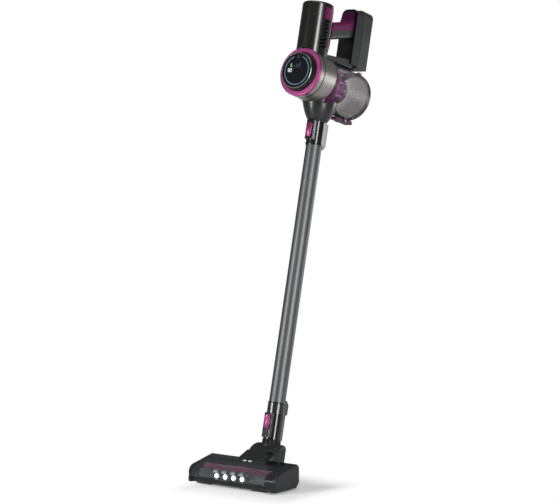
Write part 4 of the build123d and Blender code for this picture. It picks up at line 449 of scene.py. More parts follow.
# %% Brushed metals
def brushed(name, dark, pale, squeeze, gloss, metal, scratch=1.2e-5, on="wand"):
    """Two noises squeezed along the brushing, a fine and a broad one, share out tone, gloss and relief."""
    made = Finish(name)
    fine = made.noise(1.0, 4, 0.65, made.stretch(squeeze, on))
    broad = made.noise(1.0, 2, 0.5, made.stretch([s * 0.12 for s in squeeze], on))
    made.paint(made.step(fine * 0.7 + broad * 0.3, 0.3, 0.7), dark, pale)
    made.feed("Roughness", gloss - 0.06 + 0.16 * fine)
    made.feed("Metallic", metal - 0.05 + 0.08 * broad)
    made.relief(fine, scratch, 0.6)
    return made


wear("main_housing", brushed("brushed_titanium", ink(118, 115, 113), ink(172, 169, 166),
                             squeeze=(12, 2600, 12), gloss=0.34, metal=0.9))
wear("wand_tube", brushed("anodised_wand", ink(74, 75, 76), ink(104, 105, 106),
                          squeeze=(2400, 2400, 9), gloss=0.42, metal=0.82))
wear("brush_shaft base_screws housing_screws latch_pins motor_pulley",
     brushed("turned_steel", ink(140, 141, 143), ink(196, 196, 198),
             squeeze=(2200, 40, 40), gloss=0.30, metal=1.0, scratch=1e-5, on="frame"))
wear("suction_motor head_motor", brushed("drawn_can", ink(120, 121, 124), ink(170, 171, 174),
                                         squeeze=(30, 30, 900), gloss=0.36, metal=0.95))
wear("brush_bushes", brushed("sintered_bronze", ink(130, 96, 52), ink(184, 146, 90),
                             squeeze=(900, 900, 900), gloss=0.45, metal=0.9, scratch=2e-5, on="frame"))

# %% [markdown]
# ## See-through plastic
# The bin is smoky, its door has a dark rim, and the head's window is smoked. Each wall is a solid with two
# faces, so light meets it twice, and the share of each face is set with that in mind. The bin is clearest
# round the cyclone, where the plum shows, and denser towards its back. Its colour is painted light and shade:
# a paler band a little above its middle is a painted highlight, and a darker top is painted shade under the
# arm and dock.
# Alpha is the way here, because it keeps the highlights and still lets the inside show.

# %% Clear plastics
def clear_wall(name, gloss, coat):
    """Very fine hairlines scatter the gloss of a clear wall; each part feeds its own colour and alpha."""
    made = Finish(name, {"Coat Weight": coat, "Coat Roughness": 0.05, "IOR": 1.5})
    hair = made.noise(1.0, 3, 0.6, made.stretch((700, 40, 700), "wand"))
    made.feed("Roughness", gloss + 0.05 * hair)
    made.relief(hair, 3e-6)
    return made


door_low, door_high = wand_box("bin_door")
BIN_UP = (door_low[2] + door_high[2]) / 2
BIN_DENSER, BIN_PAINTED_LIGHT, BIN_PAINTED_SHADE = (0.005, 0.060), (-0.05, 0.045), (0.032, 0.055)
DOOR_RIM = (0.0475, 0.0540)
bin_clear = clear_wall("smoky_bin", gloss=0.34, coat=0.05)
above = bin_clear.along("Z", "wand") - BIN_UP / MM
deep = bin_clear.step(bin_clear.along("Y", "wand"), *BIN_DENSER)
# Painted light and shade: paler in a band a little above the middle for a highlight, darker near the top for
# shade under the arm and dock.
painted_light_and_shade = bin_clear.step(above, *BIN_PAINTED_LIGHT) - bin_clear.step(above, *BIN_PAINTED_SHADE)
bin_clear.paint(painted_light_and_shade, ink(66, 58, 64), ink(132, 124, 129))
bin_clear.feed("Alpha", 0.13 + 0.37 * deep + 0.06 * bin_clear.noise(9, 2))

door_clear = clear_wall("smoky_door", gloss=0.30, coat=0.05)
aside, above = door_clear.along("X", "wand"), door_clear.along("Z", "wand") - BIN_UP / MM
rim = door_clear.step((aside * aside + above * above) ** 0.5, *DOOR_RIM)
door_clear.paint(rim, ink(62, 57, 61), ink(7, 7, 8))
door_clear.feed("Alpha", 0.36 + 0.62 * rim)

window_clear = clear_wall("smoked_window", gloss=0.05, coat=0.6)
cloud, smoke = window_clear.noise(9, 2), ink(66, 71, 72)
window_clear.paint(cloud, tint(smoke, 0.8), smoke)
window_clear.feed("Alpha", 0.30 + 0.08 * cloud)
wear("dust_bin", bin_clear)
wear("bin_door", door_clear)
wear("head_window", window_clear)

# %% [markdown]
# ## Rubber and felt
# Rubber is dull and slightly mottled, so it is a moulding with a deep grain and little gloss. Felt is a mat
# of crossed fibres: two noises, each drawn out along other axes, and a sheen for the loose ends.

# %% Rubber and felt
rubber = moulding("soft_rubber", ink(28, 28, 29), gloss=0.62, grain=4e-5, scale=700)
felt = Finish("dense_felt", {"Sheen Weight": 0.4})
fibre = felt.noise(1.0, 4, 0.7, felt.stretch((2600, 500, 500)))
cross = felt.noise(1.0, 4, 0.7, felt.stretch((500, 2600, 900)))
felt.paint(fibre * 0.5 + cross * 0.5, ink(22, 22, 23), ink(52, 52, 54))
felt.feed("Roughness", 0.8 + 0.18 * cross)
felt.relief(fibre + cross, 1e-4)
wear("front_bumper drive_belt battery_button neck_collar", rubber)
wear("wheel_left wheel_right",
     moulding("wheel_rubber", ink(36, 36, 37), gloss=0.55, grain=3e-5, scale=900))
wear("glide_pads exhaust_filter", felt)

# %% [markdown]
# ## Boards, cells, wires and mesh
# A circuit board is black with paler tracks, battery cells wear a printed sleeve, one wire of the harness is
# red, and the shroud is steel with round holes. Most of them sit inside, but the part can be opened or
# looked into, so each one still gets a finish of its own.

# %% Electrical parts and the shroud
board = Finish("circuit_board")
track = board.node("ShaderNodeTexBrick", {"offset": 0.4},
                   {"Vector": board.place(), "Scale": 160, "Mortar Size": 0.06,
                    "Color1": ink(18, 20, 22), "Color2": ink(24, 27, 29), "Mortar": ink(60, 64, 66)})
board.feed("Base Color", track)
board.feed("Roughness", 0.30 + 0.2 * board.noise(400))

SLEEVE_BAND = 2 * math.pi / 96.0
sleeve_print = Finish("cell_sleeve")
stripe = sleeve_print.along("Z", "wand").wave(SLEEVE_BAND, SLEEVE_BAND / 4)
band = sleeve_print.step(stripe, 0.5, 0.6)
sleeve_print.paint(band, ink(32, 92, 150), ink(214, 218, 222))
sleeve_print.feed("Roughness", 0.32 + 0.1 * sleeve_print.noise(300))

wires = Finish("wire_jacket")
right_wire = wires.step(wires.along("X"), -0.001, 0.001)
wires.paint(right_wire, ink(150, 30, 30), ink(26, 26, 28))
wires.feed("Roughness", 0.42 + 0.1 * wires.noise(500))

mesh_steel = Finish("perforated_steel")
dots = mesh_steel.node("ShaderNodeTexVoronoi", {"feature": "F1"},
                       {"Vector": mesh_steel.place("wand"), "Scale": 620, "Randomness": 0.15}, "Distance")
hole = 1 - mesh_steel.step(dots, 0.26, 0.34)
mesh_steel.paint(hole, ink(150, 150, 153), ink(8, 8, 9))
mesh_steel.feed("Metallic", 0.95 - 0.9 * hole)
mesh_steel.feed("Roughness", 0.34 + 0.5 * hole)
mesh_steel.relief(1 - hole, 2e-4)
wear("led_board display_board", board)
wear("battery_cells", sleeve_print)
wear("wand_harness", wires)
wear("mesh_shroud", mesh_steel)

# %% [markdown]
# ## Glass and light
# The display is black glass with a pale blue light guide let into it, and four headlights shine in the nose
# of the head. A light guide is never quite even, so its glow follows a slow noise. Each headlight is hotter
# at its middle than at its rim: a cosine along the row peaks at every lens, and the square of the distance
# from the row's line is taken off it.

# %% Glass and lights
LED_FIRST, LED_PITCH, LED_UP, LED_FALL = -0.0481, 0.0244, 0.0229, 0.006
glass = Finish("display_glass", {"Coat Weight": 0.25, "Coat Roughness": 0.03, "IOR": 1.5})
smear = glass.noise(35, 3)
glass.paint(smear, ink(6, 7, 9), ink(14, 15, 18))
glass.feed("Roughness", 0.05 + 0.08 * smear)

guide = Finish("light_guide", {"Emission Strength": 0.22, "Roughness": 0.3})
glow = guide.noise(45, 2)
guide.paint(glow, ink(44, 66, 82), ink(62, 92, 108))
guide.feed("Emission Color", guide.mix(glow, ink(70, 128, 176), ink(138, 190, 224)))

lamp = Finish("headlight_lens", {"Emission Strength": 12.0, "Roughness": 0.15})
heat = lamp.along("X").wave(LED_PITCH, LED_FIRST)
off_row = (lamp.along("Z") - LED_UP) / LED_FALL
core = lamp.step(heat - off_row * off_row, 0.02, 0.8) ** 1.5
lamp.paint(heat, ink(200, 210, 220), ink(255, 255, 255))
lamp.feed("Emission Color", lamp.mix(core, ink(40, 45, 50), ink(255, 255, 255)))
wear("display_lens", glass)
wear("light_ring", guide)
wear("led_lenses", lamp)

# %% [markdown]
# ## Crowned buttons and lit marks
# A latch face, a display segment and a release button are all pebbles: a rounded outline with a swollen
# front. On a polar grid that is short to write. The outline is a superellipse, which goes from an ellipse
# to a rounded rectangle as its power rises, and the front swells by how far a point is from the rim.

# %% Pebble grids
def full_turn(count):
    """Evenly spaced angles round a circle, the first not repeated at the end."""
    return np.linspace(0, 2 * np.pi, count, endpoint=False)


def pebble(width, height, crown, sunk, corner, dome, rings, around=48):
    """Across, up and out of a closed pebble: |a|^n + |b|^n = 1, out = crown (1 - rho^dome), back sunk."""
    turn = full_turn(around)
    reach = (np.abs(np.cos(turn)) ** corner + np.abs(np.sin(turn)) ** corner) ** (-1 / corner)
    rho = np.concatenate([np.linspace(0, 1, rings), [1.0, 0.0]])[:, None]
    out = np.concatenate([crown * (1 - np.linspace(0, 1, rings) ** dome), [-sunk, -sunk]])[:, None]
    across = width / 2 * rho * reach * np.cos(turn)
    up = height / 2 * rho * reach * np.sin(turn)
    return across, up, out + 0 * across


# %% [markdown]
# ## The display's marks
# The screen shows a charge figure, a small charge bar and a row of power bars. Each mark is a thin pebble
# that stands a tenth of a millimetre proud of the glass. The figure is built from the seven bars of a plain
# segment digit, and a table says which of them each numeral lights.

# %% Bars and digits
lens_low, lens_high = wand_box("display_lens")
GLASS_FACE = lens_low[1]
SCREEN_UP = (lens_low[2] + lens_high[2]) / 2
MARK_LIFT, MARK_CROWN = 0.06, 0.05
SEGMENT_REACH, SEGMENT_THICK = 1.9, 0.8
SEGMENTS = np.array([[0, 1, 0], [0, -1, 0], [0, 0, 0],
                     [-1, 0.5, 1], [1, 0.5, 1], [-1, -0.5, 1], [1, -0.5, 1]])
LIT = {"8": [0, 1, 2, 3, 4, 5, 6], "0": [0, 1, 3, 4, 5, 6]}


def lit_ink(name, colour, strength):
    """A lit mark on the display: its glow wavers a little, as segments behind glass do."""
    made = Finish(name, {"Emission Strength": strength, "Roughness": 0.3})
    shade = made.mix(made.noise(600, 2), tint(colour, 0.75), colour)
    made.feed("Base Color", shade)
    made.feed("Emission Color", shade)
    return made


def marks(bars):
    """Bars as rows of (across, up, width, height), each turned into a thin pebble on the glass."""
    grids = []
    for across, up, width, height in bars:
        a, b, out = pebble(width, height, MARK_CROWN, 0.0, corner=6, dome=4, rings=4, around=24)
        grids.append(on_wand(across + a, GLASS_FACE - MARK_LIFT - out, SCREEN_UP + up + b))
    return np.array(grids)


def digit(numeral, across):
    """The lit bars of one numeral; an upright bar is a flat one turned a quarter and a little longer."""
    flat, tall = (1.7 * SEGMENT_REACH, SEGMENT_THICK), (SEGMENT_THICK, 1.8 * SEGMENT_REACH)
    return [(across + SEGMENT_REACH * x, 2 * SEGMENT_REACH * z, *(tall if upright else flat))
            for x, z, upright in SEGMENTS[LIT[numeral]]]


# %% Display marks
TENS_ACROSS, UNITS_ACROSS = -22.3, -16.2
CELL_FIRST, CELL_STEP, CELL_CAP = (-17, 8.4, 5.4, 1.5), (0, 2.1, 0, 0), (-17, 16.4, 2.4, 1.0)
POWER_FIRST, POWER_STEP = (-8, 9, 1.0, 5), (5.2, 1.1, 0, 2.2)
KEY_UP, KEY_WIDE = 32.6, 8.4
fourfold = np.arange(4)[:, None]
figure = digit("8", TENS_ACROSS) + digit("0", UNITS_ACROSS)
cell = np.vstack([np.array(CELL_FIRST) + fourfold * CELL_STEP, CELL_CAP])
power = np.array(POWER_FIRST) + fourfold * POWER_STEP
white_ink = lit_ink("white_mark", ink(236, 242, 246), 0.9)
green_ink = lit_ink("green_mark", ink(112, 158, 92), 0.35)
blue_ink = lit_ink("blue_mark", ink(70, 104, 132), 0.14)
make_piece("charge_figure", marks(figure), white_ink, "hand_unit")
make_piece("charge_bar", marks(cell), green_ink, "hand_unit")
a, b, out = pebble(KEY_WIDE, KEY_WIDE, crown=0.25, sunk=0.2, corner=2.0, dome=6.0, rings=6, around=40)
key_grid = on_wand(a, GLASS_FACE - out, SCREEN_UP + KEY_UP + b)
make_piece("touch_key", key_grid, fan_black, "hand_unit")
make_piece("power_bars", marks(power), blue_ink, "hand_unit")

# %% [markdown]
# ## Turned rings
# The bright lip round the glass, the gasket of the bin door, the dark groove round the drum and the black
# trim at each end of the wand are all turned parts: one closed profile carried round an axis. The profile
# is a list of radius and depth, measured from the face that the ring sits by, and the round is a full turn
# of points, so the grid meets itself both ways.

# %% Turned rings
DOOR_FACE = door_low[1]
DRUM_FACE = wand_box("main_housing")[0][1]
LIP = [(40.6, -0.4), (40.9, -0.8), (41.4, -0.85), (42.0, -0.4), (42.5, 0.6), (42.3, 1.0), (41.0, 0.0)]
GASKET = [(52.2, 1.7), (53.2, 1.3), (54.0, 1.9), (54.0, 3.4), (53.2, 4.1), (52.2, 3.4)]
GROOVE = [(57.0, 12.8), (57.5, 12.8), (57.55, 13.6), (57.55, 14.6), (57.5, 15.4), (57.0, 15.4)]
TRIM = [(20.4, 0.0), (21.0, 0.4), (21.2, 1.4), (21.2, 2.6), (21.0, 3.4), (20.4, 3.8)]
INTO_SOCKET, INTO_COLLAR = 6.7, 10.5
TRIM_FEET = {"upper": wand_box("wand_upper_socket")[0][2] + INTO_SOCKET,
             "lower": wand_box("wand_lower_collar")[1][2] - INTO_COLLAR}
DRUM_SIDES, WAND_SIDES = 160, 96


def turned_about_drum(profile, face, centre_up):
    """A closed profile of (radius, depth behind a face) carried round the drum's axis."""
    radius, depth = np.array(profile, float).T[..., None]
    turn = full_turn(DRUM_SIDES)
    return on_wand(radius * np.sin(turn), face + depth, centre_up + radius * np.cos(turn))


def turned_about_wand(profile, foot):
    """A closed profile of (radius, height above a foot) carried round the wand's axis."""
    radius, height = np.array(profile, float).T[..., None]
    turn = full_turn(WAND_SIDES)
    return on_wand(radius * np.cos(turn), radius * np.sin(turn), foot + height)


bright = brushed("bright_lip", ink(104, 100, 98), ink(150, 146, 143),
                 squeeze=(20, 900, 20), gloss=0.2, metal=1.0, scratch=4e-6)
lip, gasket = turned_about_drum(LIP, GLASS_FACE, SCREEN_UP), turned_about_drum(GASKET, DOOR_FACE, BIN_UP)
groove = turned_about_drum(GROOVE, DRUM_FACE, SCREEN_UP)
make_piece("display_lip", lip, bright, "hand_unit", rows_meet=True)
make_piece("door_gasket", gasket, rubber, "door", rows_meet=True)
make_piece("drum_groove", groove, rubber, "hand_unit", rows_meet=True)
for end, foot in TRIM_FEET.items():
    trim = turned_about_wand(TRIM, foot)
    make_piece(f"wand_trim_{end}", trim, piano, "hand_unit", rows_meet=True)

# %% [markdown]
# ## The battery seal
# A dark seal fills the groove where the battery meets its dock. Its line is a rectangle with four rounded
# corners, which is one circle cut into quarters that are pushed apart. The seal is thin along the top and
# foot, where the battery stands past the dock, and full along both sides.

# %% Battery seal
SEAL_AHEAD, TOP_CORNER, FOOT_CORNER, CORNER_STEPS = 0.2, 15.0, 3.0, 13
SEAL_BACK = wand_box("battery_case")[0][1] - SEAL_AHEAD
SEAL_INSET = np.array([0.3, 0.3, 1.0, 1.65, 2.6, 2.6, 1.65, 1.0])[:, None]
SEAL_HALF = np.array([-1.6, 1.6, 0.74, 0.32, 0.1, -0.1, -0.32, -0.74])[:, None]
quarter = np.repeat(np.arange(4), CORNER_STEPS)
turn = quarter * np.pi / 2 + np.tile(np.linspace(0, np.pi / 2, CORNER_STEPS), 4)
corner_r = np.where(quarter < 2, TOP_CORNER, FOOT_CORNER)
side_x = np.where((quarter == 0) | (quarter == 3), 1, -1) * (dock_high[0] - corner_r)
side_z = np.where(quarter < 2, dock_high[2] - corner_r, dock_low[2] + corner_r)
half_width = np.where(SEAL_HALF > 0, SEAL_HALF * np.abs(np.cos(turn)) + 0.05, SEAL_HALF)
seal = on_wand(side_x + (corner_r - SEAL_INSET) * np.cos(turn), SEAL_BACK + half_width,
               side_z + (corner_r - SEAL_INSET) * np.sin(turn))
make_piece("battery_seal", seal, rubber, "hand_unit", rows_meet=True)

# %% [markdown]
# ## Latch faces
# Each coupling has a pearl rocker with a crowned face, a waist and a dimple for the thumb. The solid rocker
# is a straight lever, so the face is a pebble laid over it, narrower at the waist, with a round dip pressed
# into the swell near the top.

# %% Latch faces
LEVER_FACE = wand_box("wand_latch")[0][1]
FACE_WIDE, FACE_TALL, FACE_CROWN = 17.0, 34.6, 2.6
WAIST_AT, WAIST = [-18.5, -9, 2, 10, 18.5], [0.92, 0.84, 0.88, 1.0, 1.0]
REST_AT, REST = [-17.5, -6.1, 9.25, 18.5], np.array([1.2, 0.0, 0.4, 1.6])
DIMPLE_DEEP, DIMPLE_WIDE, DIMPLE_TALL, DIMPLE_UP = 1.5, 4.2, 4.6, 9.5


def latch_face(name, joint, body):
    """A pebble; width follows the waist's shares up the face; dip = depth exp(-(distance/reach)^2)."""
    centre = in_wand(joints[joint]["pos_m"])[2]
    a, b, out = pebble(FACE_WIDE, FACE_TALL, FACE_CROWN, 0.3, corner=3.6, dome=3.0, rings=16, around=64)
    away = (a / DIMPLE_WIDE) ** 2 + ((b - DIMPLE_UP) / DIMPLE_TALL) ** 2
    dip = DIMPLE_DEEP * np.exp(-away) * (out > 0)
    face = np.interp(b, REST_AT, LEVER_FACE + REST)
    grid = on_wand(a * np.interp(b, WAIST_AT, WAIST), face - out + dip, centre + b)
    make_piece(name, grid, pearl, body, crease=60)


latch_face("wand_latch_face", "wand_latch_press", "wand_rocker")
latch_face("head_latch_face", "head_latch_press", "head_rocker")

# %% [markdown]
# ## The cyclones
# Through the smoky wall a ring of small cones shows round the waist of the main cyclone, on one plate that
# fills the space between the cyclone and the bin. Each cone is the same turned tube at another place round
# the ring, so one array of nine angles makes all of them.

# %% Cyclone ring
BIN_FACE = wand_box("dust_bin")[0][1]
PLATE = [(34.0, 14.0), (55.2, 14.0), (55.2, 15.8), (34.0, 15.8)]
CONE = np.array([(6.0, 14.5), (7.6, 14.5), (7.6, 23.0), (7.0, 29.0),
                 (4.4, 52.0), (3.4, 52.4), (3.2, 51.0), (6.0, 27.0)])
CONES, CONE_RING = 9, 44.5
plate = turned_about_drum(PLATE, BIN_FACE, BIN_UP)
make_piece("cyclone_plate", plate, plum, "hand_unit", rows_meet=True)
places = full_turn(CONES)[:, None, None]
turn = full_turn(32)[None, None, :]
radius, depth = CONE.T[:, None, :, None]
cones = on_wand(CONE_RING * np.sin(places) + radius * np.cos(turn), BIN_FACE + depth,
                BIN_UP + CONE_RING * np.cos(places) + radius * np.sin(turn))
make_piece("cyclone_tubes", cones, plum, "hand_unit", rows_meet=True)

# %% [markdown]
# ## The brush
# Four rows of nylon tufts wind round a plush sleeve. A strand is a three-sided spike, and thousands of them
# are one array: a place along the roll, an angle that winds with it, and a small random lean, seeded so that
# every run gives the same brush. The tips stay inside the circle that the solid brush fills.

# %% Brush tufts
_, BRUSH_ALONG, BRUSH_UP = in_head(joints["brush_spin"]["pos_m"])
ROLL_LEFT, ROLL_RIGHT = (in_head(corner)[0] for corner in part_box("brush_bristles"))
ROWS, TUFTS, STRANDS, WIND = 4, 92, 10, np.radians(150)
ROOT_R, TIP_R, END_ROOM, END_GAP = 12.6, 20.9, 1.8, 0.2
STRAY_X, STRAY_TURN, LEAN_X, LEAN_TURN, SHORTER = 0.35, 0.03, 0.55, 0.035, 0.9
chance = np.random.default_rng(7)
row_no, tuft_no, _ = np.meshgrid(np.arange(ROWS), np.linspace(0, 1, TUFTS), np.arange(STRANDS), indexing="ij")
count = row_no.size
start_x = ROLL_LEFT + END_ROOM + (ROLL_RIGHT - ROLL_LEFT - 2 * END_ROOM) * tuft_no
start_x = start_x.ravel() + chance.normal(0, STRAY_X, count)
angle = (np.pi / 2 * row_no + WIND * tuft_no).ravel() + chance.normal(0, STRAY_TURN, count)
lean_x, lean_a = chance.normal(0, LEAN_X, count), chance.normal(0, LEAN_TURN, count)
tip = TIP_R - chance.uniform(0, SHORTER, count)
start_x, angle, lean_x, lean_a, tip = (v[:, None, None] for v in (start_x, angle, lean_x, lean_a, tip))
rise = np.array([0.0, 0.0, 1.0, 1.0])[None, :, None]
thick = np.array([0.0, 0.26, 0.16, 0.0])[None, :, None]
corner = np.radians([0, 120, 240])[None, None, :]
reach = ROOT_R + rise * (tip - ROOT_R)
along_roll = np.clip(start_x + rise * lean_x + thick * np.cos(corner),
                     ROLL_LEFT + END_GAP, ROLL_RIGHT - END_GAP)
swing = angle + rise * lean_a + thick * np.sin(corner) / reach
strands = on_head(along_roll, BRUSH_ALONG - reach * np.sin(swing), BRUSH_UP + reach * np.cos(swing))

nylon = Finish("nylon_bristle", {"Sheen Weight": 0.3})
hue = nylon.noise(420, 3)
shades = ((0.3, ink(84, 34, 60)), (0.52, ink(160, 66, 118)), (0.72, ink(110, 84, 98)))
nylon.feed("Base Color", nylon.node("ShaderNodeValToRGB", {"stops": shades}, {"Fac": hue}))
nylon.feed("Roughness", 0.42 + 0.2 * hue)
tufts = make_piece("brush_tufts", strands, nylon, "brush_roll", crease=60)
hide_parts("brush_bristles")

# %% [markdown]
# ## The plush sleeve
# Between the rows of nylon the roll wears a short plush. It is a tube whose radius ripples with the four
# rows as they wind, closed down to the core at both ends, with a nap from fine noise and a sheen.

# %% Brush sleeve
SLEEVE_R, SLEEVE_RIPPLE, CORE_R = 18.9, 0.6, 11.6
plush = Finish("plush_sleeve", {"Sheen Weight": 0.8, "Sheen Roughness": 0.4})
nap = plush.noise(1100, 4, 0.7)
plush.paint(nap, ink(116, 40, 84), ink(196, 96, 150))
plush.feed("Roughness", 0.75 + 0.2 * nap)
plush.relief(nap, 3e-4)
span = np.concatenate([[ROLL_LEFT], np.linspace(ROLL_LEFT, ROLL_RIGHT, 90), [ROLL_RIGHT]])[:, None]
turn = full_turn(72)
wound = WIND * (span - ROLL_LEFT) / (ROLL_RIGHT - ROLL_LEFT)
ripple = SLEEVE_R + SLEEVE_RIPPLE * np.cos(ROWS * (turn - wound))
ripple[0] = ripple[-1] = CORE_R
sleeve = on_head(span, BRUSH_ALONG - ripple * np.sin(turn), BRUSH_UP + ripple * np.cos(turn))
make_piece("brush_sleeve", sleeve, plush, "brush_roll")

# %% [markdown]
# ## The neck hose
# Under the hood a ribbed hose carries the air from the head up into the wand. Its line goes down the neck,
# round one bend and forward into the head, and its radius dips between the ribs. The outer wall going down
# and the inner wall coming back make one closed grid. The hose is built in its rest pose and tied to no body;
# the two points on its line where a blend between the neck and the head would begin and end are worked out,
# but nothing uses them.

# %% Hose line
HOSE_TOP, DUCT_UP, DUCT_FACE, BEND = 31.0, 20.0, in_head(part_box("neck_hose")[0])[1], 40.0
STATIONS = 260
sweep = math.pi / 2 - LEAN
top = np.array([HOSE_TOP * math.sin(LEAN), MM * PIVOT[2] + HOSE_TOP * math.cos(LEAN)])
fall = (top[1] - DUCT_UP) / math.cos(LEAN)
knee = top[0] - fall * math.sin(LEAN)
tangent = BEND * math.tan(sweep / 2)
first, bend = fall - tangent, BEND * sweep
total = first + bend + knee - DUCT_FACE - tangent
walk = np.linspace(0, total, STATIONS)
heading = LEAN + np.clip((walk - first) / BEND, 0, sweep)
down, inward = np.array([math.sin(LEAN), math.cos(LEAN)]), np.array([-math.cos(LEAN), math.sin(LEAN)])
hub = top - first * down + BEND * inward
before, after = np.minimum(walk - first, 0), np.maximum(walk - first - bend, 0)
line_y = hub[0] + BEND * np.cos(heading) - before * math.sin(LEAN) - after
line_z = hub[1] - BEND * np.sin(heading) - before * math.cos(LEAN)
print("hose", round(total, 1), "mm long")

# %% Hose wall
HOSE_R, RIB_DEEP, RIBS, CUFF, CUFF_FADE, WALL = 14.4, 1.5, 15, 6, 3, 1.2
BLEND_FROM, BLEND_TO = 30, 230
cuff = np.clip(np.minimum(walk - CUFF, total - CUFF - walk) / CUFF_FADE, 0, 1)
rib = 0.5 + 0.5 * np.cos(2 * np.pi * (walk - CUFF) / (total - 2 * CUFF) * RIBS)
outer = HOSE_R - cuff * RIB_DEEP * rib ** 0.7
wall = np.concatenate([outer, (outer - WALL)[::-1]])[:, None]
there = np.concatenate([np.arange(STATIONS), np.arange(STATIONS)[::-1]])
turn = full_turn(48)
face_y, face_z = np.cos(heading)[there, None], -np.sin(heading)[there, None]
hose_grid = on_head(wall * np.sin(turn), line_y[there, None] + wall * np.cos(turn) * face_y,
                    line_z[there, None] + wall * np.cos(turn) * face_z)
hose = make_piece("neck_bellows", hose_grid, rubber, rows_meet=True, crease=80)
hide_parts("neck_hose")
on_head(0.0, line_y[BLEND_FROM], line_z[BLEND_FROM])
on_head(0.0, line_y[BLEND_TO], line_z[BLEND_TO])
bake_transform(hose)

# %% [markdown]
# ## Inside the nose of the head
# Above the headlights the inside of the window carries a comb of upright fins. It
# follows the round of the window, so it is a sheet in angle and width whose radius rises into a fin every
# three millimetres. Its glow is painted light: the comb is no lamp, and its emission stands in for the
# headlights' light caught in the fins, strongest by each lamp and fading towards the top.

# %% Headlight comb
NOSE_ALONG, NOSE_UP, COMB_R, COMB_BACK_R = -120.5, 23.5, 16.9, 16.3
FIN_HIGH, FIN_PITCH = 0.6, 3.05
COMB_LEFT, COMB_RIGHT, COMB_FROM, COMB_TO, COMB_DIM = -66, 44, 27, 66, (0.031, 0.040)
comb_x = np.linspace(COMB_LEFT, COMB_RIGHT, 441)
comb_a = np.radians(np.linspace(COMB_FROM, COMB_TO, 12))[:, None]
fin = np.clip(1.6 * np.cos(2 * np.pi * comb_x / FIN_PITCH) - 0.4, 0, 1)
crest = COMB_R + FIN_HIGH * fin + 0 * comb_a
sheet = np.concatenate([crest, 0 * crest + COMB_BACK_R])
tilt = np.concatenate([comb_a, comb_a[::-1]])
comb = on_head(comb_x, NOSE_ALONG - sheet * np.cos(tilt), NOSE_UP + sheet * np.sin(tilt))
left_end, right_end = (comb[:, [k]].mean(0, keepdims=True).repeat(len(tilt), 0) for k in (0, -1))
frost = moulding("comb_painted_glow", ink(92, 98, 102), gloss=0.3, grain=1e-5,
                 constants={"Emission Strength": 3.0})
# Painted light: the comb's emission is a painted glow of the headlights, strongest by each lamp, on each fin,
# and low down.
near = frost.along("X").wave(LED_PITCH, LED_FIRST)
blade = frost.along("X").wave(FIN_PITCH / MM)
low_down = 1 - frost.step(frost.along("Z"), *COMB_DIM)
painted_glow = frost.step(near, -0.7, 1.0) * frost.step(blade, 0.1, 0.9) * low_down
frost.feed("Emission Color", frost.mix(painted_glow, (0, 0, 0, 1), ink(224, 234, 240)))
comb_grid = np.concatenate([left_end, comb, right_end], 1)
make_piece("headlight_comb", comb_grid, frost, "floor_head", rows_meet=True, cols_meet=False)

# %% [markdown]
# ## The tray and the release buttons
# A grey tray behind the headlights curves up in front of the brush. It is a short curve with a thickness,
# carried straight across the head and closed at both ends. Two release buttons sit at the foot of the ramp
# above it, pebbles again, set to the ramp's slope; their pale colour is a painted highlight that stands in
# for two glints there.

# %% Headlight tray
TRAY_LEFT, TRAY_RIGHT, TRAY_THICK = -108.0, 92.0, 0.8
TRAY_FRONT, TRAY_LEAN, TRAY_FOOT, TRAY_TALL = -124.6, 6.6, 13, 20
rise = np.linspace(0, 1, 10)[:, None]
front_y, front_z = TRAY_FRONT + TRAY_LEAN * rise ** 1.5, TRAY_FOOT + TRAY_TALL * rise
loop_y = np.concatenate([front_y, front_y[::-1] + TRAY_THICK])
loop_z = np.concatenate([front_z, front_z[::-1]])
middle_y, middle_z = 0 * loop_y + loop_y.mean(), 0 * loop_z + loop_z.mean()
tray = [on_head(TRAY_LEFT, middle_y, middle_z), on_head(TRAY_LEFT, loop_y, loop_z),
        on_head(TRAY_RIGHT, loop_y, loop_z), on_head(TRAY_RIGHT, middle_y, middle_z)]
tray_grey = moulding("headlight_tray", ink(112, 126, 134), gloss=0.32, grain=1e-5)
tray_grid = np.concatenate(tray, 1)
make_piece("headlight_tray", tray_grid, tray_grey, "floor_head", rows_meet=True, cols_meet=False)

# %% Release buttons
RAMP_UP, RAMP_FOOT, SLOPE = 57.0, -58, 0.209
BUTTON_ALONG, BUTTON_ACROSS = -74.4, (-11.5, 3.5)
# Painted highlight: the buttons are painted near white, standing in for two glints at the foot of the ramp.
painted_glint_key = moulding("painted_glint_key", ink(206, 206, 204), gloss=0.3, grain=1e-5)
a, b, out = pebble(11, 6.4, crown=2.0, sunk=0.6, corner=2.4, dome=2.2, rings=10)
button_up = RAMP_UP + SLOPE * (BUTTON_ALONG - RAMP_FOOT + b) + out
buttons = np.array([on_head(across + a, BUTTON_ALONG + b, button_up) for across in BUTTON_ACROSS])
make_piece("brush_release", buttons, painted_glint_key, "floor_head")

# %% [markdown]
# ## Floor and world
# The floor and the world are white to the camera, while the lamps and a faint sky light the part. Near the
# head the floor shows its own lit pale surface, so that it keeps the soft shadow, and it turns into even
# white further out, where it meets the background. That near zone is shaped round the head and shifted to its
# right, so the grey there is partly real shadow and partly painted shade. Reflections take only a share of
# that white, so that dark lacquer stays dark.

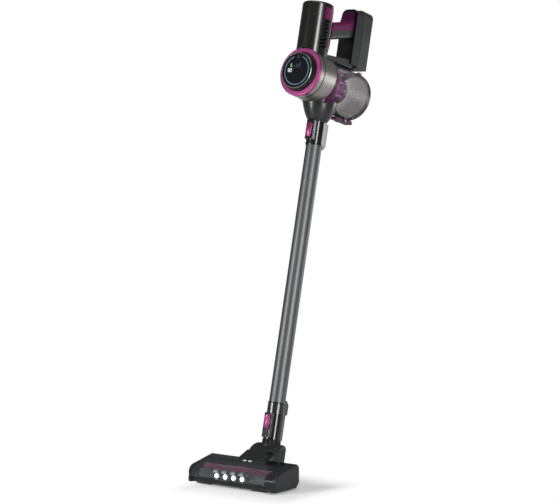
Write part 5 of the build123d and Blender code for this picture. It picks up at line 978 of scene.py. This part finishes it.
# %% Floor
FLOOR_HALF = 30.0
HEAD_WIDE, HEAD_DEEP, PAINTED_SHADE_ASIDE = 0.12, 0.07, 0.045
HEAD_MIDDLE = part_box("head_base")[0][1] + HEAD_DEEP
WHITE_NEAR, WHITE_FROM, WHITE_TO = 0.06, -0.02, 0.12
FLOOR_MIRROR, SKY_MIRROR = 0.3, 0.12
WHITE = (1, 1, 1, 1)
floor_mesh = bpy.data.meshes.new("studio_floor")
corners = [(x * FLOOR_HALF, y * FLOOR_HALF, 0) for x, y in ((-1, -1), (1, -1), (1, 1), (-1, 1))]
floor_mesh.from_pydata(corners, [], [(0, 1, 2, 3)])
floor = add_object("studio_floor", floor_mesh)


def seen_white(tree, mirror):
    """1 to the camera and through clear walls, mirror in a reflection, 0 to light."""
    camera_ray = tree.node("ShaderNodeLightPath")
    return camera_ray + camera_ray.out("Is Transmission Ray") + mirror * camera_ray.out("Is Glossy Ray")


pale = Finish("pale_floor", {"Roughness": 0.9, "Specular IOR Level": 0.0})
pale.paint(pale.noise(3, 2), ink(240, 240, 240), ink(246, 246, 246))
# Partly painted shade: the floor shows its lit grey only in a zone round the head, shifted to its right, so
# that grey is partly real shadow and partly painted shade.
beside = ((pale.along("X") - PAINTED_SHADE_ASIDE).size() - HEAD_WIDE).most(0.0)
ahead = ((pale.along("Y") - HEAD_MIDDLE).size() - HEAD_DEEP).most(0.0)
far = pale.step((4.0 * beside * beside + ahead * ahead) ** 0.5, WHITE_FROM, WHITE_TO)
share = seen_white(pale, FLOOR_MIRROR) * (WHITE_NEAR + (1 - WHITE_NEAR) * far)
white = pale.node("ShaderNodeEmission", None, {"Color": WHITE, "Strength": 1.0})
lit = Wire(pale, pale.shader.outputs[0])
mixed = pale.node("ShaderNodeMixShader", None, {0: share, 1: lit, 2: white})
pale.link(pale.tree.nodes["Material Output"].inputs["Surface"], mixed)
floor_mesh.materials.append(pale.material)
print("floor", 2 * FLOOR_HALF, "m wide")

# %% World
world = bpy.data.worlds.new("studio")
bpy.context.scene.world = world
world.use_nodes = True
sky = Nodes(world.node_tree)
dim = sky.node("ShaderNodeBackground", None, {"Color": (0.97, 0.98, 1.0, 1), "Strength": 0.045})
plain = sky.node("ShaderNodeBackground", None, {"Color": WHITE, "Strength": 1.0})
mixed = sky.node("ShaderNodeMixShader", None, {0: seen_white(sky, SKY_MIRROR), 1: dim, 2: plain})
sky.link(sky.tree.nodes["World Output"].inputs["Surface"], mixed)
sky.tree.nodes.remove(sky.tree.nodes["Background"])
print("world nodes", len(sky.tree.nodes))

# %% [markdown]
# ## Lamps
# Two tall strips draw the upright highlights on the tower and wand. A low lamp brings up the side of the
# drum, a weak one fills the back, and a broad one overhead softens the shadow.

# %% Lamps
def lamp_at(name, azimuth, distance, height, size, power, aim_up=0.6):
    """A soft rectangle of light at an azimuth round the part, turned to face a point on its middle line."""
    data = bpy.data.lights.new(name, "AREA")
    data.shape = "RECTANGLE"
    data.energy = power
    data.size, data.size_y = size
    made = add_object(name, data)
    turn = math.radians(azimuth)
    made.location = (distance * math.cos(turn), distance * math.sin(turn), height)
    made.rotation_euler = (Vector((0, 0, aim_up)) - made.location).to_track_quat("-Z", "Y").to_euler()
    print(name, power, "W")


lamp_at("right_strip", azimuth=-27, distance=2.4, height=0.95, size=(0.6, 2.2), power=56)
lamp_at("left_strip", azimuth=-116, distance=2.2, height=0.95, size=(0.46, 1.2), power=32, aim_up=0.5)
lamp_at("low_side", azimuth=62, distance=2.3, height=0.5, size=(1.0, 0.8), power=12, aim_up=0.75)
lamp_at("back_fill", azimuth=98, distance=2.4, height=0.8, size=(1.0, 1.0), power=6)
lamp_at("overhead", azimuth=-60, distance=0.6, height=2.6, size=(1.8, 1.8), power=14)

# %% [markdown]
# ## Camera
# The camera stands where the photograph's did, worked out from the head, the wand and the drum: nearly level
# with the display, with a long lens, and turned a little down.

# %% Camera
CAMERA_ASIDE, CAMERA_AHEAD, CAMERA_UP = 2.7165, 3.5145, 0.835
TURN, TILT_DOWN = 37.37, 4.01
lens = bpy.data.cameras.new("photo_angle")
lens.lens, lens.sensor_width = 125.8, 36.0
camera = add_object("photo_angle", lens)
camera.location = (CAMERA_ASIDE, PIVOT[1] - CAMERA_AHEAD, CAMERA_UP)
camera.rotation_euler = (math.radians(90 - TILT_DOWN), 0.0, math.radians(TURN))
bpy.context.scene.camera = camera
bpy.context.scene.view_settings.view_transform = "Standard"
print("camera at", [round(v, 3) for v in camera.location])
